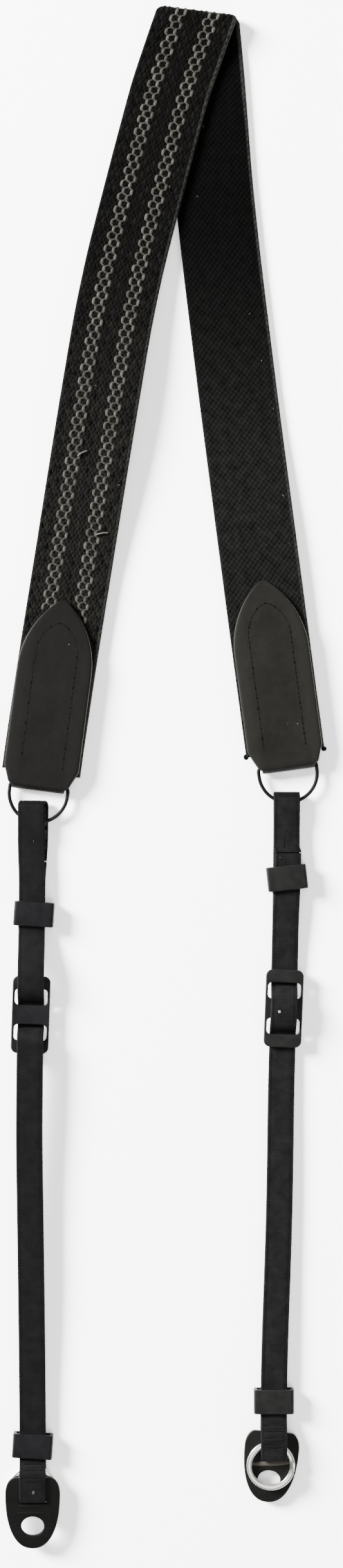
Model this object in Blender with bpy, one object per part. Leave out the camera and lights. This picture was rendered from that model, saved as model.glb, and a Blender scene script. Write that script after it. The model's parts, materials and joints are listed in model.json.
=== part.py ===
"""A camera strap laid flat and folded once at the top, in metres, +Z up.

The picture's up is +Y and its right is +X. The neck webbing is folded over, so its left run lies on its
right run at the top. Each run ends in a leather tab that is folded round a D-ring, and a narrow webbing
goes from each D-ring through two keepers and a three-bar slide to a split ring and a guard.
The left side shows its outer face, and the right side its inner face.
"""
import math
from collections import namedtuple

import bpy
from mathutils import Matrix, Vector
from mathutils.geometry import tessellate_polygon

MM = 0.001

# Clearances
GAP = 0.3 * MM              # between pieces that touch
SLIDE_FREE = 1.25 * MM      # beside the narrow webbing in a slide's slot
KEEPER_FREE = 1.4 * MM      # beside the narrow webbing in a keeper
GUARD_FREE = 0.7 * MM       # beside the narrow webbing in a guard's slot
STRAP_REST = 0.2 * MM       # under the narrow webbing where it comes lowest

# Neck webbing
NECK_WIDTH = 30.0 * MM
NECK_THICKNESS = 1.8 * MM
NECK_EDGE = 0.5 * MM        # rounding of its selvedge
FOLD_RADIUS = 2.0 * MM      # middle of the webbing at the fold
FOLD_SETTLE = 22.0 * MM     # length in which the front run comes down on the rear run
NECK_SHORT = 7.0 * MM       # from the webbing's end in a tab to the tab's fold

# Leather tab
TAB_LENGTH = 73.0 * MM
TAB_WIDTH = 28.6 * MM
TAB_ARCH = 27.0 * MM        # length of the pointed arch
TAB_LEATHER = 1.3 * MM
TAB_EDGE = 0.35 * MM
TAB_TIP = 0.6 * MM          # half width where the arch starts
TAB_CORNER = 5.0 * MM       # length of the chamfer at the D-ring
TAB_FREE = 0.2 * MM         # more room round the D-ring's bar than the usual gap
TAB_FOLD_WIDTH = 23.2 * MM  # width that is left below the chamfer

# D-ring
D_WIRE = 1.4 * MM
D_WIDTH = 23.6 * MM
D_CORNER = 1.6 * MM
D_BELOW = 0.8 * MM          # from the tab's fold to the middle of the bow

# Narrow webbing
STRAP_WIDTH = 10.0 * MM
STRAP_THICKNESS = 1.0 * MM
STRAP_EDGE = 0.3 * MM
STRAP_SETTLE = 9.0 * MM     # length in which its two layers close behind the D-ring
SEWN_LENGTH = 21.0 * MM     # turned-over end that is sewn down behind the D-ring
END_GAP = 0.8 * MM          # between the sewn end and the free end

# Keeper
KEEPER_LENGTH = 9.2 * MM
KEEPER_WALL = 1.2 * MM
KEEPER_CORNER = 1.1 * MM
KEEPER_EDGE = 0.25 * MM
KEEPER_STAND = 7.2 * MM     # from the lower keeper to the guard

# Three-bar slide
SLIDE_LENGTH = 29.4 * MM
SLIDE_THICKNESS = 1.8 * MM
SLIDE_RAIL = 0.9 * MM
SLIDE_SLOT = 6.1 * MM
SLIDE_END_BAR = 4.9 * MM
SLIDE_CORNER = 2.4 * MM
SLIDE_EDGE = 0.35 * MM

# Guard with its slot and its oval hole
GUARD_LENGTH = 26.8 * MM
GUARD_WIDTH = 20.8 * MM
GUARD_SHOULDER = 13.6 * MM  # flat top
GUARD_ROUND = 6.0 * MM      # length of the rounded shoulders
GUARD_THICKNESS = 1.8 * MM
GUARD_EDGE = 0.4 * MM
GUARD_SLOT_AT = 8.2 * MM    # from the flat top to the slot
GUARD_SLOT = 2.0 * MM
GUARD_HOLE_AT = 18.3 * MM   # from the flat top to the hole's middle
GUARD_HOLE = (8.6 * MM, 7.1 * MM)

# Split ring, two turns of flat wire
RING_RADIUS = 9.15 * MM     # outside
RING_WIDTH = 1.9 * MM
RING_WIRE = 0.75 * MM       # thickness of one turn
RING_EDGE = 0.2 * MM
RING_SHORT = 18.0           # degrees that each end stays short of the step

# Where the fold's outer edge lies, from the middle of the layout
FOLD_AT = (13.6 * MM, 291.0 * MM)

# How each side lies. Headings are degrees from straight down the picture, to its right, at a share of the run.
Side = namedtuple("Side", """name outer_up neck_run neck_bow neck_headings d_ring_shift loop_top strap_drop
                             strap_bow strap_headings keeper_share keeper_shift keeper_turn slide_share
                             slide_turn low_keeper_turn ring_rise ring_shift guard_turn guard_shift""")
SIDES = (
    Side(name="left", outer_up=True, neck_run=300.9 * MM, neck_bow=3.0 * MM,
         neck_headings=((0.0, -20.0), (0.05, -19.6), (0.14, -15.0), (0.28, -14.3), (0.36, -11.8), (0.43, -9.5),
                        (0.75, -9.2), (0.9, -8.5), (1.0, -7.5)),
         d_ring_shift=-2.0 * MM, loop_top=2.8 * MM, strap_drop=260.0 * MM, strap_bow=3.0 * MM,
         strap_headings=((0.0, -0.6), (0.4, -0.6), (0.52, 0.8), (1.0, 0.1)),
         keeper_share=0.177, keeper_shift=0.8 * MM, keeper_turn=-3.1, slide_share=0.324,
         slide_turn=-1.3, low_keeper_turn=-3.8, ring_rise=3.1 * MM, ring_shift=0.0,
         guard_turn=0.0, guard_shift=0.0),
    Side(name="right", outer_up=False, neck_run=288.5 * MM, neck_bow=0.0 * MM,
         neck_headings=((0.0, 5.5), (0.15, 4.2), (0.28, 6.2), (0.38, 7.0), (0.6, 7.4), (1.0, 7.7)),
         d_ring_shift=-0.5 * MM, loop_top=7.1 * MM, strap_drop=250.7 * MM, strap_bow=0.6 * MM,
         strap_headings=((0.0, 0.0), (0.2, -0.9), (0.34, -1.8), (0.5, -0.8), (0.72, -2.1), (0.95, 0.3),
                         (1.0, 0.3)),
         keeper_share=0.159, keeper_shift=0.3 * MM, keeper_turn=6.9, slide_share=0.357,
         slide_turn=-0.5, low_keeper_turn=0.6, ring_rise=-4.3 * MM, ring_shift=-1.2 * MM,
         guard_turn=-5.5, guard_shift=-0.9 * MM),
)

# Sizes that follow from those above
TAB_RADIUS = D_WIRE / 2 + GAP + TAB_FREE             # inside of the leather where it turns round the bar
TAB_MIDDLE = TAB_LEATHER + max(TAB_RADIUS, NECK_THICKNESS / 2 + GAP)
LAYER_REACH = STRAP_THICKNESS / 2 + GAP              # from a surface to the middle of a webbing beside it
PAIR_HALF = (STRAP_THICKNESS + GAP) / 2              # from the middle of two layers to the middle of one
PAIR_REACH = PAIR_HALF + STRAP_THICKNESS / 2 + GAP
KEEPER_INSIDE = 2 * PAIR_REACH
KEEPER_MIDDLE = KEEPER_WALL + PAIR_REACH
PAIR_LOW = STRAP_REST + PAIR_REACH - GAP
SLIDE_REACH = SLIDE_THICKNESS / 2 + PAIR_REACH
SLIDE_MIDDLE = PAIR_LOW + SLIDE_REACH
SLIDE_WIDTH = STRAP_WIDTH + 2 * (SLIDE_FREE + SLIDE_RAIL)
RING_THICKNESS = 2 * RING_WIRE + GAP
RING_LOW = STRAP_THICKNESS + GAP                     # the stack at the guard, counted from the inner layer
GUARD_LOW = RING_LOW + RING_THICKNESS + GAP
STACK = GUARD_LOW + GUARD_THICKNESS + GAP + STRAP_THICKNESS


def material(name, colour, roughness, metallic=0.0):
    """A plain surface in the colour of the real piece."""
    made = bpy.data.materials.new(name)
    made.use_nodes = True
    shader = made.node_tree.nodes["Principled BSDF"]
    shader.inputs["Base Color"].default_value = (*colour, 1.0)
    shader.inputs["Roughness"].default_value = roughness
    shader.inputs["Metallic"].default_value = metallic
    return made


def blend(share):
    """A smooth step from 0 to 1."""
    share = min(max(share, 0.0), 1.0)
    return 0.5 - 0.5 * math.cos(math.pi * share)


def read_table(rows, at):
    """Value of a table of (place, value) rows at a place, joined by smooth steps."""
    for (low, first), (high, last) in zip(rows, rows[1:]):
        if at <= high:
            return first + (last - first) * blend((at - low) / (high - low))
    return rows[-1][1]


class Route:
    """A centre line on the floor, walked from its start by a table of headings."""

    STEPS = 200

    def __init__(self, start, headings, length):
        self.headings = headings
        self.length = length
        self.points = [Vector(start)]
        for step in range(self.STEPS):
            forward = self.forward((step + 0.5) * length / self.STEPS)
            self.points.append(self.points[-1] + forward * length / self.STEPS)

    def heading(self, along):
        share = min(max(along / self.length, 0.0), 1.0)
        return math.radians(read_table(self.headings, share))

    def forward(self, along):
        turn = self.heading(along)
        return Vector((math.sin(turn), -math.cos(turn)))

    def side(self, along):
        turn = self.heading(along)
        return Vector((math.cos(turn), math.sin(turn)))

    def point(self, along):
        place = min(max(along / self.length, 0.0), 1.0) * self.STEPS
        index = min(int(place), self.STEPS - 1)
        base = self.points[index].lerp(self.points[index + 1], place - index)
        beyond = along - min(max(along, 0.0), self.length)
        return base + self.forward(along) * beyond


def finish(name, vertices, faces, surface, holder, smooth_angle=40.0):
    """A named object from a mesh."""
    mesh = bpy.data.meshes.new(name)
    mesh.from_pydata([tuple(vertex) for vertex in vertices], [], faces)
    mesh.validate()
    mesh.shade_smooth()
    mesh.set_sharp_from_angle(angle=math.radians(smooth_angle))
    mesh.materials.append(surface)
    made = bpy.data.objects.new(name, mesh)
    made.parent = holder
    bpy.context.scene.collection.objects.link(made)
    return made


def join_loops(loops, closed):
    """Walls between loops of equal count, with flat ends unless the row of loops closes on itself."""
    count = len(loops[0])
    vertices = [vertex for loop in loops for vertex in loop]
    faces = []
    for ring in range(len(loops) if closed else len(loops) - 1):
        here = ring * count
        there = (ring + 1) % len(loops) * count
        for index in range(count):
            after = (index + 1) % count
            faces.append((here + index, here + after, there + after, there + index))
    if not closed:
        faces.append(tuple(reversed(range(count))))
        faces.append(tuple(range((len(loops) - 1) * count, len(loops) * count)))
    return vertices, faces


def band(name, rows, thickness, edge, surface, holder):
    """A flat band through rows, each the left and right end of its middle surface."""
    middles = [(left + right) / 2 for left, right in rows]
    loops = []
    for index, (left, right) in enumerate(rows):
        before = middles[max(index - 1, 0)]
        after = middles[min(index + 1, len(rows) - 1)]
        across = (right - left).normalized()
        face = across.cross((after - before).normalized()).normalized() * (thickness / 2)
        inset = across * edge
        loops.append([left, left + inset + face, right - inset + face,
                      right, right - inset - face, left + inset - face])
    return finish(name, *join_loops(loops, closed=False), surface, holder)


def offset_loop(points, inward):
    """A counter-clockwise loop moved in by a distance."""
    moved = []
    for index, point in enumerate(points):
        ahead = (points[(index + 1) % len(points)] - point).normalized()
        behind = (point - points[index - 1]).normalized()
        normal = Vector((-ahead.y - behind.y, ahead.x + behind.x)).normalized()
        moved.append(point + normal * inward / max(normal.dot(Vector((-ahead.y, ahead.x))), 0.5))
    return moved


def plate(name, outline, holes, thickness, edge, surface, holder):
    """A flat plate with holes and eased edges, middle at height 0."""
    loops = [(outline, 1.0)] + [(hole, -1.0) for hole in holes]
    levels = ((-thickness / 2, edge), (-thickness / 2 + edge, 0.0),
              (thickness / 2 - edge, 0.0), (thickness / 2, edge))
    vertices, faces, caps = [], [], {0: [], len(levels) - 1: []}
    for points, inward in loops:
        count = len(points)
        base = len(vertices)
        for level, (height, inset) in enumerate(levels):
            moved = offset_loop(points, inset * inward)
            vertices += [Vector((point.x, point.y, height)) for point in moved]
            if level in caps:
                caps[level].append((moved, base + level * count))
        for level in range(len(levels) - 1):
            low = base + level * count
            for index in range(count):
                after = (index + 1) % count
                wall = (low + index, low + after, low + count + after, low + count + index)
                faces.append(wall if inward > 0 else tuple(reversed(wall)))
    for level, cap in caps.items():
        numbers = [base + index for points, base in cap for index in range(len(points))]
        flat = [[Vector((point.x, point.y, 0.0)) for point in points] for points, base in cap]
        for corners in tessellate_polygon(flat):
            places = [vertices[numbers[corner]] for corner in corners]
            up = (places[1] - places[0]).cross(places[2] - places[0]).z > 0
            face = tuple(numbers[corner] for corner in corners)
            faces.append(face if up == (level > 0) else tuple(reversed(face)))
    return finish(name, vertices, faces, surface, holder)


def wire(name, path, section, closed, surface, holder):
    """A wire along a path, with a section of (outward, up) offsets from it."""
    loops = []
    for index, point in enumerate(path):
        last = len(path) - 1
        before = path[index - 1] if closed else path[max(index - 1, 0)]
        after = path[(index + 1) % len(path)] if closed else path[min(index + 1, last)]
        ahead = (after - before).normalized()
        outward = Vector((ahead.y, -ahead.x, 0.0)).normalized()
        lift = outward.cross(ahead).normalized()
        loops.append([point + outward * across - lift * up for across, up in section])
    return finish(name, *join_loops(loops, closed), surface, holder)


def arc(centre, radius, first, last, steps):
    """Points of an arc, with its angles in degrees."""
    turns = [math.radians(first + (last - first) * step / steps) for step in range(steps + 1)]
    return [Vector(centre) + radius * Vector((math.cos(turn), math.sin(turn))) for turn in turns]


def rounded_rectangle(width, height, radius, steps=4):
    """A counter-clockwise loop round the origin."""
    half_x, half_y = width / 2 - radius, height / 2 - radius
    corners = ((half_x, -half_y, -90), (half_x, half_y, 0), (-half_x, half_y, 90), (-half_x, -half_y, 180))
    return [point for x, y, turn in corners for point in arc((x, y), radius, turn, turn + 90, steps)]


def moved_loop(points, y):
    return [Vector((point.x, point.y + y)) for point in points]


def in_line(points, side):
    """A loop in a guard, moved back in line with the webbing that the guard hangs askew on."""
    back = Matrix.Rotation(math.radians(-side.guard_turn), 2)
    return [back @ (point - Vector((side.guard_shift, 0.0))) for point in points]


def seat(made, route, along, height, shift=0.0, turn=0.0):
    """Puts a piece on a route: its +Y up the route, its +X to the side."""
    place = route.point(along) + route.side(along) * shift
    made.location = (place.x, place.y, height)
    made.rotation_euler.z = route.heading(along) + math.radians(turn)


def sample(knots, spacing, steps=6):
    """Places and heights through (place, height) knots: level stretches and smooth ramps."""
    line = []
    for (low, first), (high, last) in zip(knots, knots[1:]):
        parts = steps if abs(last - first) > GAP / 3 else max(1, math.ceil((high - low) / spacing))
        for part in range(parts):
            share = part / parts
            line.append(Vector((low + (high - low) * share, first + (last - first) * blend(share))))
    line.append(Vector(knots[-1]))
    return line


def offset_line(line, distances):
    """A line in the side view moved up by a distance at each of its points."""
    moved = []
    for index, point in enumerate(line):
        ahead = (line[min(index + 1, len(line) - 1)] - line[max(index - 1, 0)]).normalized()
        moved.append(point + Vector((-ahead.y, ahead.x)) * distances[index])
    return moved


def wrap(corners, reach, steps=4):
    """A line in the side view that turns round corners at a distance, from heading out to heading back."""
    headings = [Vector((1.0, 0.0))]
    headings += [(after - before).normalized() for before, after in zip(corners, corners[1:])]
    headings.append(Vector((-1.0, 0.0)))
    line = []
    for corner, arriving, leaving in zip(corners, headings, headings[1:]):
        first = math.atan2(arriving.x, -arriving.y)
        turn = arriving.angle_signed(leaving)
        for step in range(steps + 1):
            angle = first - turn * step / steps
            line.append(corner + Vector((math.cos(angle), math.sin(angle))) * reach)
    return line


def neck_routes():
    """The two runs of the neck webbing, each from the end of the fold's bend to its tab's fold."""
    front, rear = SIDES[0].neck_headings[0][1], SIDES[1].neck_headings[0][1]
    middle, half = math.radians((front + rear) / 2), math.radians((rear - front) / 2)
    inward = Vector((math.sin(middle), -math.cos(middle)))
    crease = Vector((math.cos(middle), math.sin(middle)))
    top = Vector(FOLD_AT) + inward * NECK_THICKNESS / 2
    drift = crease * (math.pi / 2 * FOLD_RADIUS * math.tan(half))
    base = top + inward * FOLD_RADIUS
    routes = {"left": Route(base - drift, SIDES[0].neck_headings, SIDES[0].neck_run),
              "right": Route(base + drift, SIDES[1].neck_headings, SIDES[1].neck_run)}
    return routes, top, inward, crease, half


def neck_rows():
    """Rows of the neck webbing from the left tab, over the fold, to the right tab."""
    routes, top, inward, crease, half = neck_routes()
    rest = NECK_THICKNESS / 2
    over = rest + NECK_THICKNESS + GAP
    crossing = NECK_WIDTH / 2 / math.sin(half)
    rows = []
    for side, turned, start in ((SIDES[0], half, rest + 2 * FOLD_RADIUS), (SIDES[1], -half, rest)):
        route = routes[side.name]
        free = over if side.outer_up else rest
        tip = side.neck_run - TAB_LENGTH
        end = side.neck_run - NECK_SHORT
        knots = [(0.0, start), (FOLD_SETTLE, free), (crossing, free),
                 ((crossing + tip) / 2, free + side.neck_bow), (tip - 2 * GAP, TAB_MIDDLE), (end, TAB_MIDDLE)]
        run = []
        for along, height in sample(knots, spacing=8.0 * MM):
            skew = turned * blend((2.2 * FOLD_SETTLE - along) / FOLD_SETTLE)
            heading = route.heading(along) + skew
            across = Vector((math.cos(heading), math.sin(heading))) * (NECK_WIDTH / 2 / math.cos(skew))
            middle = route.point(along)
            left, right = middle - across, middle + across
            run.append((Vector((left.x, left.y, height)), Vector((right.x, right.y, height))))
        rows.append(run)
    bend = []
    steps = 8
    for step in range(1, steps):
        turn = math.pi * step / steps
        drift = crease * ((turn - math.pi / 2) * FOLD_RADIUS * math.tan(half))
        middle = top + inward * FOLD_RADIUS * (1 - math.sin(turn)) + drift
        height = rest + FOLD_RADIUS * (1 + math.cos(turn))
        across = crease * (NECK_WIDTH / 2 / math.cos(half))
        left, right = middle - across, middle + across
        bend.append((Vector((left.x, left.y, height)), Vector((right.x, right.y, height))))
    return list(reversed(rows[0])) + bend + rows[1], routes


def tab_half_width(from_tip):
    """Half the tab's width at a distance from its tip, as far as the bar."""
    half = TAB_WIDTH / 2
    bar = TAB_LENGTH - TAB_MIDDLE
    if from_tip < TAB_ARCH:
        radius = (TAB_ARCH ** 2 + half ** 2) / (2 * half)
        return max(half - radius + math.sqrt(radius ** 2 - (TAB_ARCH - from_tip) ** 2), TAB_TIP)
    corner = max(0.0, (from_tip - (bar - TAB_CORNER)) / TAB_CORNER)
    return half + (TAB_FOLD_WIDTH / 2 - half) * corner


def tab_rows():
    """Rows of a tab from its front tip, round the bar, to its back tip; its fold is at y 0."""
    bar = TAB_LENGTH - TAB_MIDDLE
    radius = TAB_MIDDLE - TAB_LEATHER / 2
    arch_steps = 9
    places = [TAB_ARCH * (step / arch_steps) ** 1.5 for step in range(arch_steps + 1)]
    places += [bar - TAB_CORNER, bar - GAP]
    front = [(place, TAB_MIDDLE + radius, tab_half_width(place)) for place in places]
    neck = D_WIDTH / 2 - D_WIRE - GAP
    bend_steps = 8
    bend = []
    for step in range(bend_steps + 1):
        turn = math.pi * step / bend_steps
        bend.append((bar + radius * math.sin(turn), TAB_MIDDLE + radius * math.cos(turn), neck))
    back = [(place, TAB_MIDDLE - radius, half) for place, height, half in reversed(front)]
    rows = []
    for place, height, half in front + bend + back:
        rows.append((Vector((-half, TAB_LENGTH - place, height)), Vector((half, TAB_LENGTH - place, height))))
    return rows


def d_ring_path():
    """The D's wire in its plane, middle of the bow at the origin, bar towards +Y."""
    reach = D_WIDTH / 2 - D_WIRE / 2
    bar = D_BELOW + TAB_MIDDLE
    path = arc((0.0, 0.0), reach, 180, 360, 20)
    path += arc((reach - D_CORNER, bar - D_CORNER), D_CORNER, 0, 90, 4)
    path += arc((D_CORNER - reach, bar - D_CORNER), D_CORNER, 90, 180, 4)
    return [Vector((point.x, point.y, 0.0)) for point in path]


def round_section(diameter, sides):
    turns = [2 * math.pi * index / sides for index in range(sides)]
    return [(diameter / 2 * math.cos(turn), diameter / 2 * math.sin(turn)) for turn in turns]


def flat_section(width, height, edge):
    """An eased rectangle as (outward, up) offsets."""
    x, y = width / 2, height / 2
    return [(x, edge - y), (x, y - edge), (x - edge, y), (edge - x, y),
            (-x, y - edge), (-x, edge - y), (edge - x, -y), (x - edge, -y)]


def split_ring_path():
    """Two flat turns joined by one step, each end short of it."""
    reach = RING_RADIUS - RING_WIDTH / 2
    pitch = RING_WIRE + GAP
    steps = 60
    path = []
    for step in range(steps + 1):
        turn = RING_SHORT + (720.0 - 2 * RING_SHORT) * step / steps
        height = pitch * (blend((turn - 360.0 + RING_SHORT) / (2 * RING_SHORT)) - 0.5)
        angle = math.radians(turn)
        path.append(Vector((reach * math.cos(angle), reach * math.sin(angle), height)))
    return path


def guard_outline():
    """Egg shape, flat top at y 0, counter-clockwise."""
    half, top = GUARD_WIDTH / 2, GUARD_SHOULDER / 2
    fullness = 2.3
    low = GUARD_LENGTH - GUARD_ROUND
    right = []
    for step in range(5):
        turn = math.pi / 2 * step / 5
        right.append(Vector((top + (half - top) * math.cos(turn), -GUARD_ROUND + GUARD_ROUND * math.sin(turn))))
    right.append(Vector((top, 0.0)))
    left = [Vector((-point.x, point.y)) for point in reversed(right)]
    bottom = []
    steps = 20
    for step in range(1, steps):
        turn = math.pi * (1 + step / steps)
        across, down = math.cos(turn), math.sin(turn)
        bottom.append(Vector((half * math.copysign(abs(across) ** (2 / fullness), across),
                              -GUARD_ROUND - low * abs(down) ** (2 / fullness))))
    return right + left + bottom


def oval(width, height, y, steps=20):
    turns = [2 * math.pi * index / steps for index in range(steps)]
    return [Vector((width / 2 * math.cos(turn), y + height / 2 * math.sin(turn))) for turn in turns]


def strap_places(side):
    """Where each piece sits along a narrow webbing, from the middle of the D-ring's bow."""
    shoulder = side.strap_drop
    return {"keeper": side.keeper_share * side.strap_drop,
            "slide": side.slide_share * side.strap_drop,
            "low_keeper": shoulder - KEEPER_STAND - KEEPER_LENGTH / 2,
            "shoulder": shoulder,
            "slot": shoulder + GUARD_SLOT_AT,
            "ring": shoulder + GUARD_SLOT_AT - side.ring_rise}


def strap_line(side):
    """Side view of a narrow webbing: sewn end, D-ring, outer layer, guard's slot, inner layer, free end."""
    at = strap_places(side)
    up = 1.0 if side.outer_up else -1.0
    bow_reach = D_WIRE / 2 + LAYER_REACH
    loop_middle = side.loop_top + STRAP_THICKNESS / 2 + bow_reach
    open_end = D_WIDTH / 2 + GAP
    slide_top = at["slide"] - SLIDE_LENGTH / 2
    slide_low = at["slide"] + SLIDE_LENGTH / 2
    over, under = SLIDE_MIDDLE + up * SLIDE_REACH, SLIDE_MIDDLE - up * SLIDE_REACH
    keeper_low = at["low_keeper"] + KEEPER_LENGTH / 2
    knots = [(loop_middle, TAB_MIDDLE), (open_end + STRAP_SETTLE, TAB_MIDDLE),
             (at["keeper"] - KEEPER_LENGTH / 2, KEEPER_MIDDLE),
             (at["keeper"] + KEEPER_LENGTH / 2, KEEPER_MIDDLE),
             (slide_top, over), (slide_top + SLIDE_END_BAR, over),
             (slide_top + SLIDE_END_BAR + SLIDE_SLOT, under), (slide_low - SLIDE_END_BAR - SLIDE_SLOT, under),
             (slide_low - SLIDE_END_BAR, over), (slide_low, over),
             ((slide_low + at["low_keeper"]) / 2, PAIR_LOW + side.strap_bow),
             (at["low_keeper"] - KEEPER_LENGTH / 2, KEEPER_MIDDLE), (keeper_low + GAP, KEEPER_MIDDLE)]
    middle = sample(knots, spacing=14.0 * MM)
    spread = [(0.0, bow_reach), (open_end, bow_reach), (open_end + STRAP_SETTLE, PAIR_HALF)]
    apart = [up * read_table(spread, point.x) for point in middle]
    outer = offset_line(middle, apart)
    inner = offset_line(middle, [-distance for distance in apart])

    def height(level):
        return level if side.outer_up else STACK - level

    ring_top = at["ring"] - RING_RADIUS
    inside = RING_RADIUS - RING_WIDTH
    ring_edge = at["ring"] - math.sqrt(inside ** 2 - (STRAP_WIDTH / 2 + abs(side.ring_shift) + GAP) ** 2)
    turns = wrap([Vector((at["slot"], GUARD_LOW + GUARD_THICKNESS)), Vector((at["slot"], GUARD_LOW)),
                  Vector((ring_edge, RING_LOW))], LAYER_REACH)
    turn_round = [Vector((point.x, height(point.y))) for point in turns]
    outer_level, inner_level = height(STACK - STRAP_THICKNESS / 2), height(STRAP_THICKNESS / 2)
    outer_end = sample([tuple(outer[-1]), (at["shoulder"] - GAP, outer_level)], spacing=14.0 * MM)[1:]
    inner_end = sample([tuple(inner[-1]), (ring_top - GAP, inner_level)], spacing=14.0 * MM)[1:]
    free_start = loop_middle + SEWN_LENGTH + END_GAP
    sewn_stop = Vector((loop_middle + SEWN_LENGTH, 0.0))
    sewn = [point for point in inner if point.x < sewn_stop.x]
    tail = [point for point in inner if point.x > free_start]
    sewn.append(Vector((sewn_stop.x, inner[len(sewn)].y)))
    tail.insert(0, Vector((free_start, tail[0].y)))
    centre = Vector((loop_middle, TAB_MIDDLE))
    loop = []
    loop_steps = 8
    for step in range(1, loop_steps):
        turn = math.pi * (step / loop_steps)
        loop.append(centre + Vector((-math.sin(turn), -up * math.cos(turn))) * bow_reach)
    down = outer + outer_end + turn_round
    back = list(reversed(inner_end)) + list(reversed(tail))
    return list(reversed(sewn)) + loop + down + back


def build_strap(holder):
    """All pieces, in the order in which the strap is put together."""
    webbing = material("black_patterned_webbing", (0.012, 0.011, 0.010), 0.85)
    narrow = material("black_narrow_webbing", (0.010, 0.010, 0.011), 0.75)
    leather = material("black_leather", (0.020, 0.019, 0.017), 0.55)
    painted = material("black_painted_wire", (0.012, 0.012, 0.013), 0.4)
    plastic = material("black_plastic", (0.014, 0.014, 0.015), 0.45)
    nickel = material("nickel_plated_steel", (0.75, 0.74, 0.72), 0.25, metallic=1.0)

    rows, routes = neck_rows()
    band("neck_webbing", rows, NECK_THICKNESS, NECK_EDGE, webbing, holder)

    for side in SIDES:
        neck = routes[side.name]
        at = strap_places(side)
        level = (lambda low: low) if side.outer_up else (lambda low: STACK - low)

        tab = band(f"end_tab_{side.name}", tab_rows(), TAB_LEATHER, TAB_EDGE, leather, holder)
        seat(tab, neck, neck.length, 0.0)

        ring = wire(f"d_ring_{side.name}", d_ring_path(), round_section(D_WIRE, 8), True, painted, holder)
        seat(ring, neck, neck.length + D_BELOW, TAB_MIDDLE)

        start = neck.point(neck.length + D_BELOW) + Vector((side.d_ring_shift, 0.0))
        route = Route(start, side.strap_headings, side.strap_drop + GUARD_LENGTH)
        half = STRAP_WIDTH / 2
        strap = []
        for along, height in strap_line(side):
            middle, across = route.point(along), route.side(along) * half
            left, right = middle - across, middle + across
            strap.append((Vector((left.x, left.y, height)), Vector((right.x, right.y, height))))
        band(f"strap_webbing_{side.name}", strap, STRAP_THICKNESS, STRAP_EDGE, narrow, holder)

        outline = rounded_rectangle(STRAP_WIDTH + 2 * (KEEPER_FREE + KEEPER_WALL),
                                    KEEPER_INSIDE + 2 * KEEPER_WALL, KEEPER_CORNER)
        opening = rounded_rectangle(STRAP_WIDTH + 2 * KEEPER_FREE, KEEPER_INSIDE, KEEPER_CORNER / 3, steps=2)
        for place, spot, shift, turn in (("upper", at["keeper"], side.keeper_shift, side.keeper_turn),
                                         ("lower", at["low_keeper"], 0.0, side.low_keeper_turn)):
            keeper = plate(f"keeper_{place}_{side.name}", outline, [opening], KEEPER_LENGTH, KEEPER_EDGE,
                           plastic, holder)
            keeper.rotation_euler.x = math.pi / 2
            seat(keeper, route, spot, KEEPER_MIDDLE, shift, turn)

        slot = rounded_rectangle(STRAP_WIDTH + 2 * SLIDE_FREE, SLIDE_SLOT, SLIDE_SLOT / 4, steps=3)
        slot_at = SLIDE_LENGTH / 2 - SLIDE_END_BAR - SLIDE_SLOT / 2
        slide = plate(f"slide_{side.name}", rounded_rectangle(SLIDE_WIDTH, SLIDE_LENGTH, SLIDE_CORNER),
                      [moved_loop(slot, slot_at), moved_loop(slot, -slot_at)],
                      SLIDE_THICKNESS, SLIDE_EDGE, plastic, holder)
        seat(slide, route, at["slide"], SLIDE_MIDDLE, turn=side.slide_turn)

        split = wire(f"split_ring_{side.name}", split_ring_path(),
                     flat_section(RING_WIDTH, RING_WIRE, RING_EDGE), False, nickel, holder)
        seat(split, route, at["ring"], level(RING_LOW + RING_THICKNESS / 2), side.ring_shift)

        mouth = moved_loop(rounded_rectangle(STRAP_WIDTH + 2 * GUARD_FREE, GUARD_SLOT, GUARD_SLOT / 3, steps=2),
                           -GUARD_SLOT / 2)
        guard = plate(f"guard_{side.name}", moved_loop(guard_outline(), GUARD_SLOT_AT),
                      [in_line(mouth, side), oval(*GUARD_HOLE, GUARD_SLOT_AT - GUARD_HOLE_AT)],
                      GUARD_THICKNESS, GUARD_EDGE, leather, holder)
        seat(guard, route, at["slot"], level(GUARD_LOW + GUARD_THICKNESS / 2), side.guard_shift,
             side.guard_turn)


def centre_on_floor(holder):
    """Moves the whole so that the middle of its base is the origin."""
    bpy.context.view_layer.update()
    corners = [piece.matrix_world @ vertex.co for piece in holder.children for vertex in piece.data.vertices]
    low = [min(corner[axis] for corner in corners) for axis in range(3)]
    high = [max(corner[axis] for corner in corners) for axis in range(3)]
    holder.location = (-(low[0] + high[0]) / 2, -(low[1] + high[1]) / 2, -low[2])


for old in list(bpy.data.objects):
    bpy.data.objects.remove(old, do_unlink=True)

strap_frame = bpy.data.objects.new("strap_frame", None)
bpy.context.scene.collection.objects.link(strap_frame)
build_strap(strap_frame)
centre_on_floor(strap_frame)
bpy.context.view_layer.update()
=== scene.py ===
import json
import math
from collections import namedtuple

import bpy
import numpy as np
from mathutils import Matrix, Vector
from mathutils.bvhtree import BVHTree
from mathutils.geometry import tessellate_polygon

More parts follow.
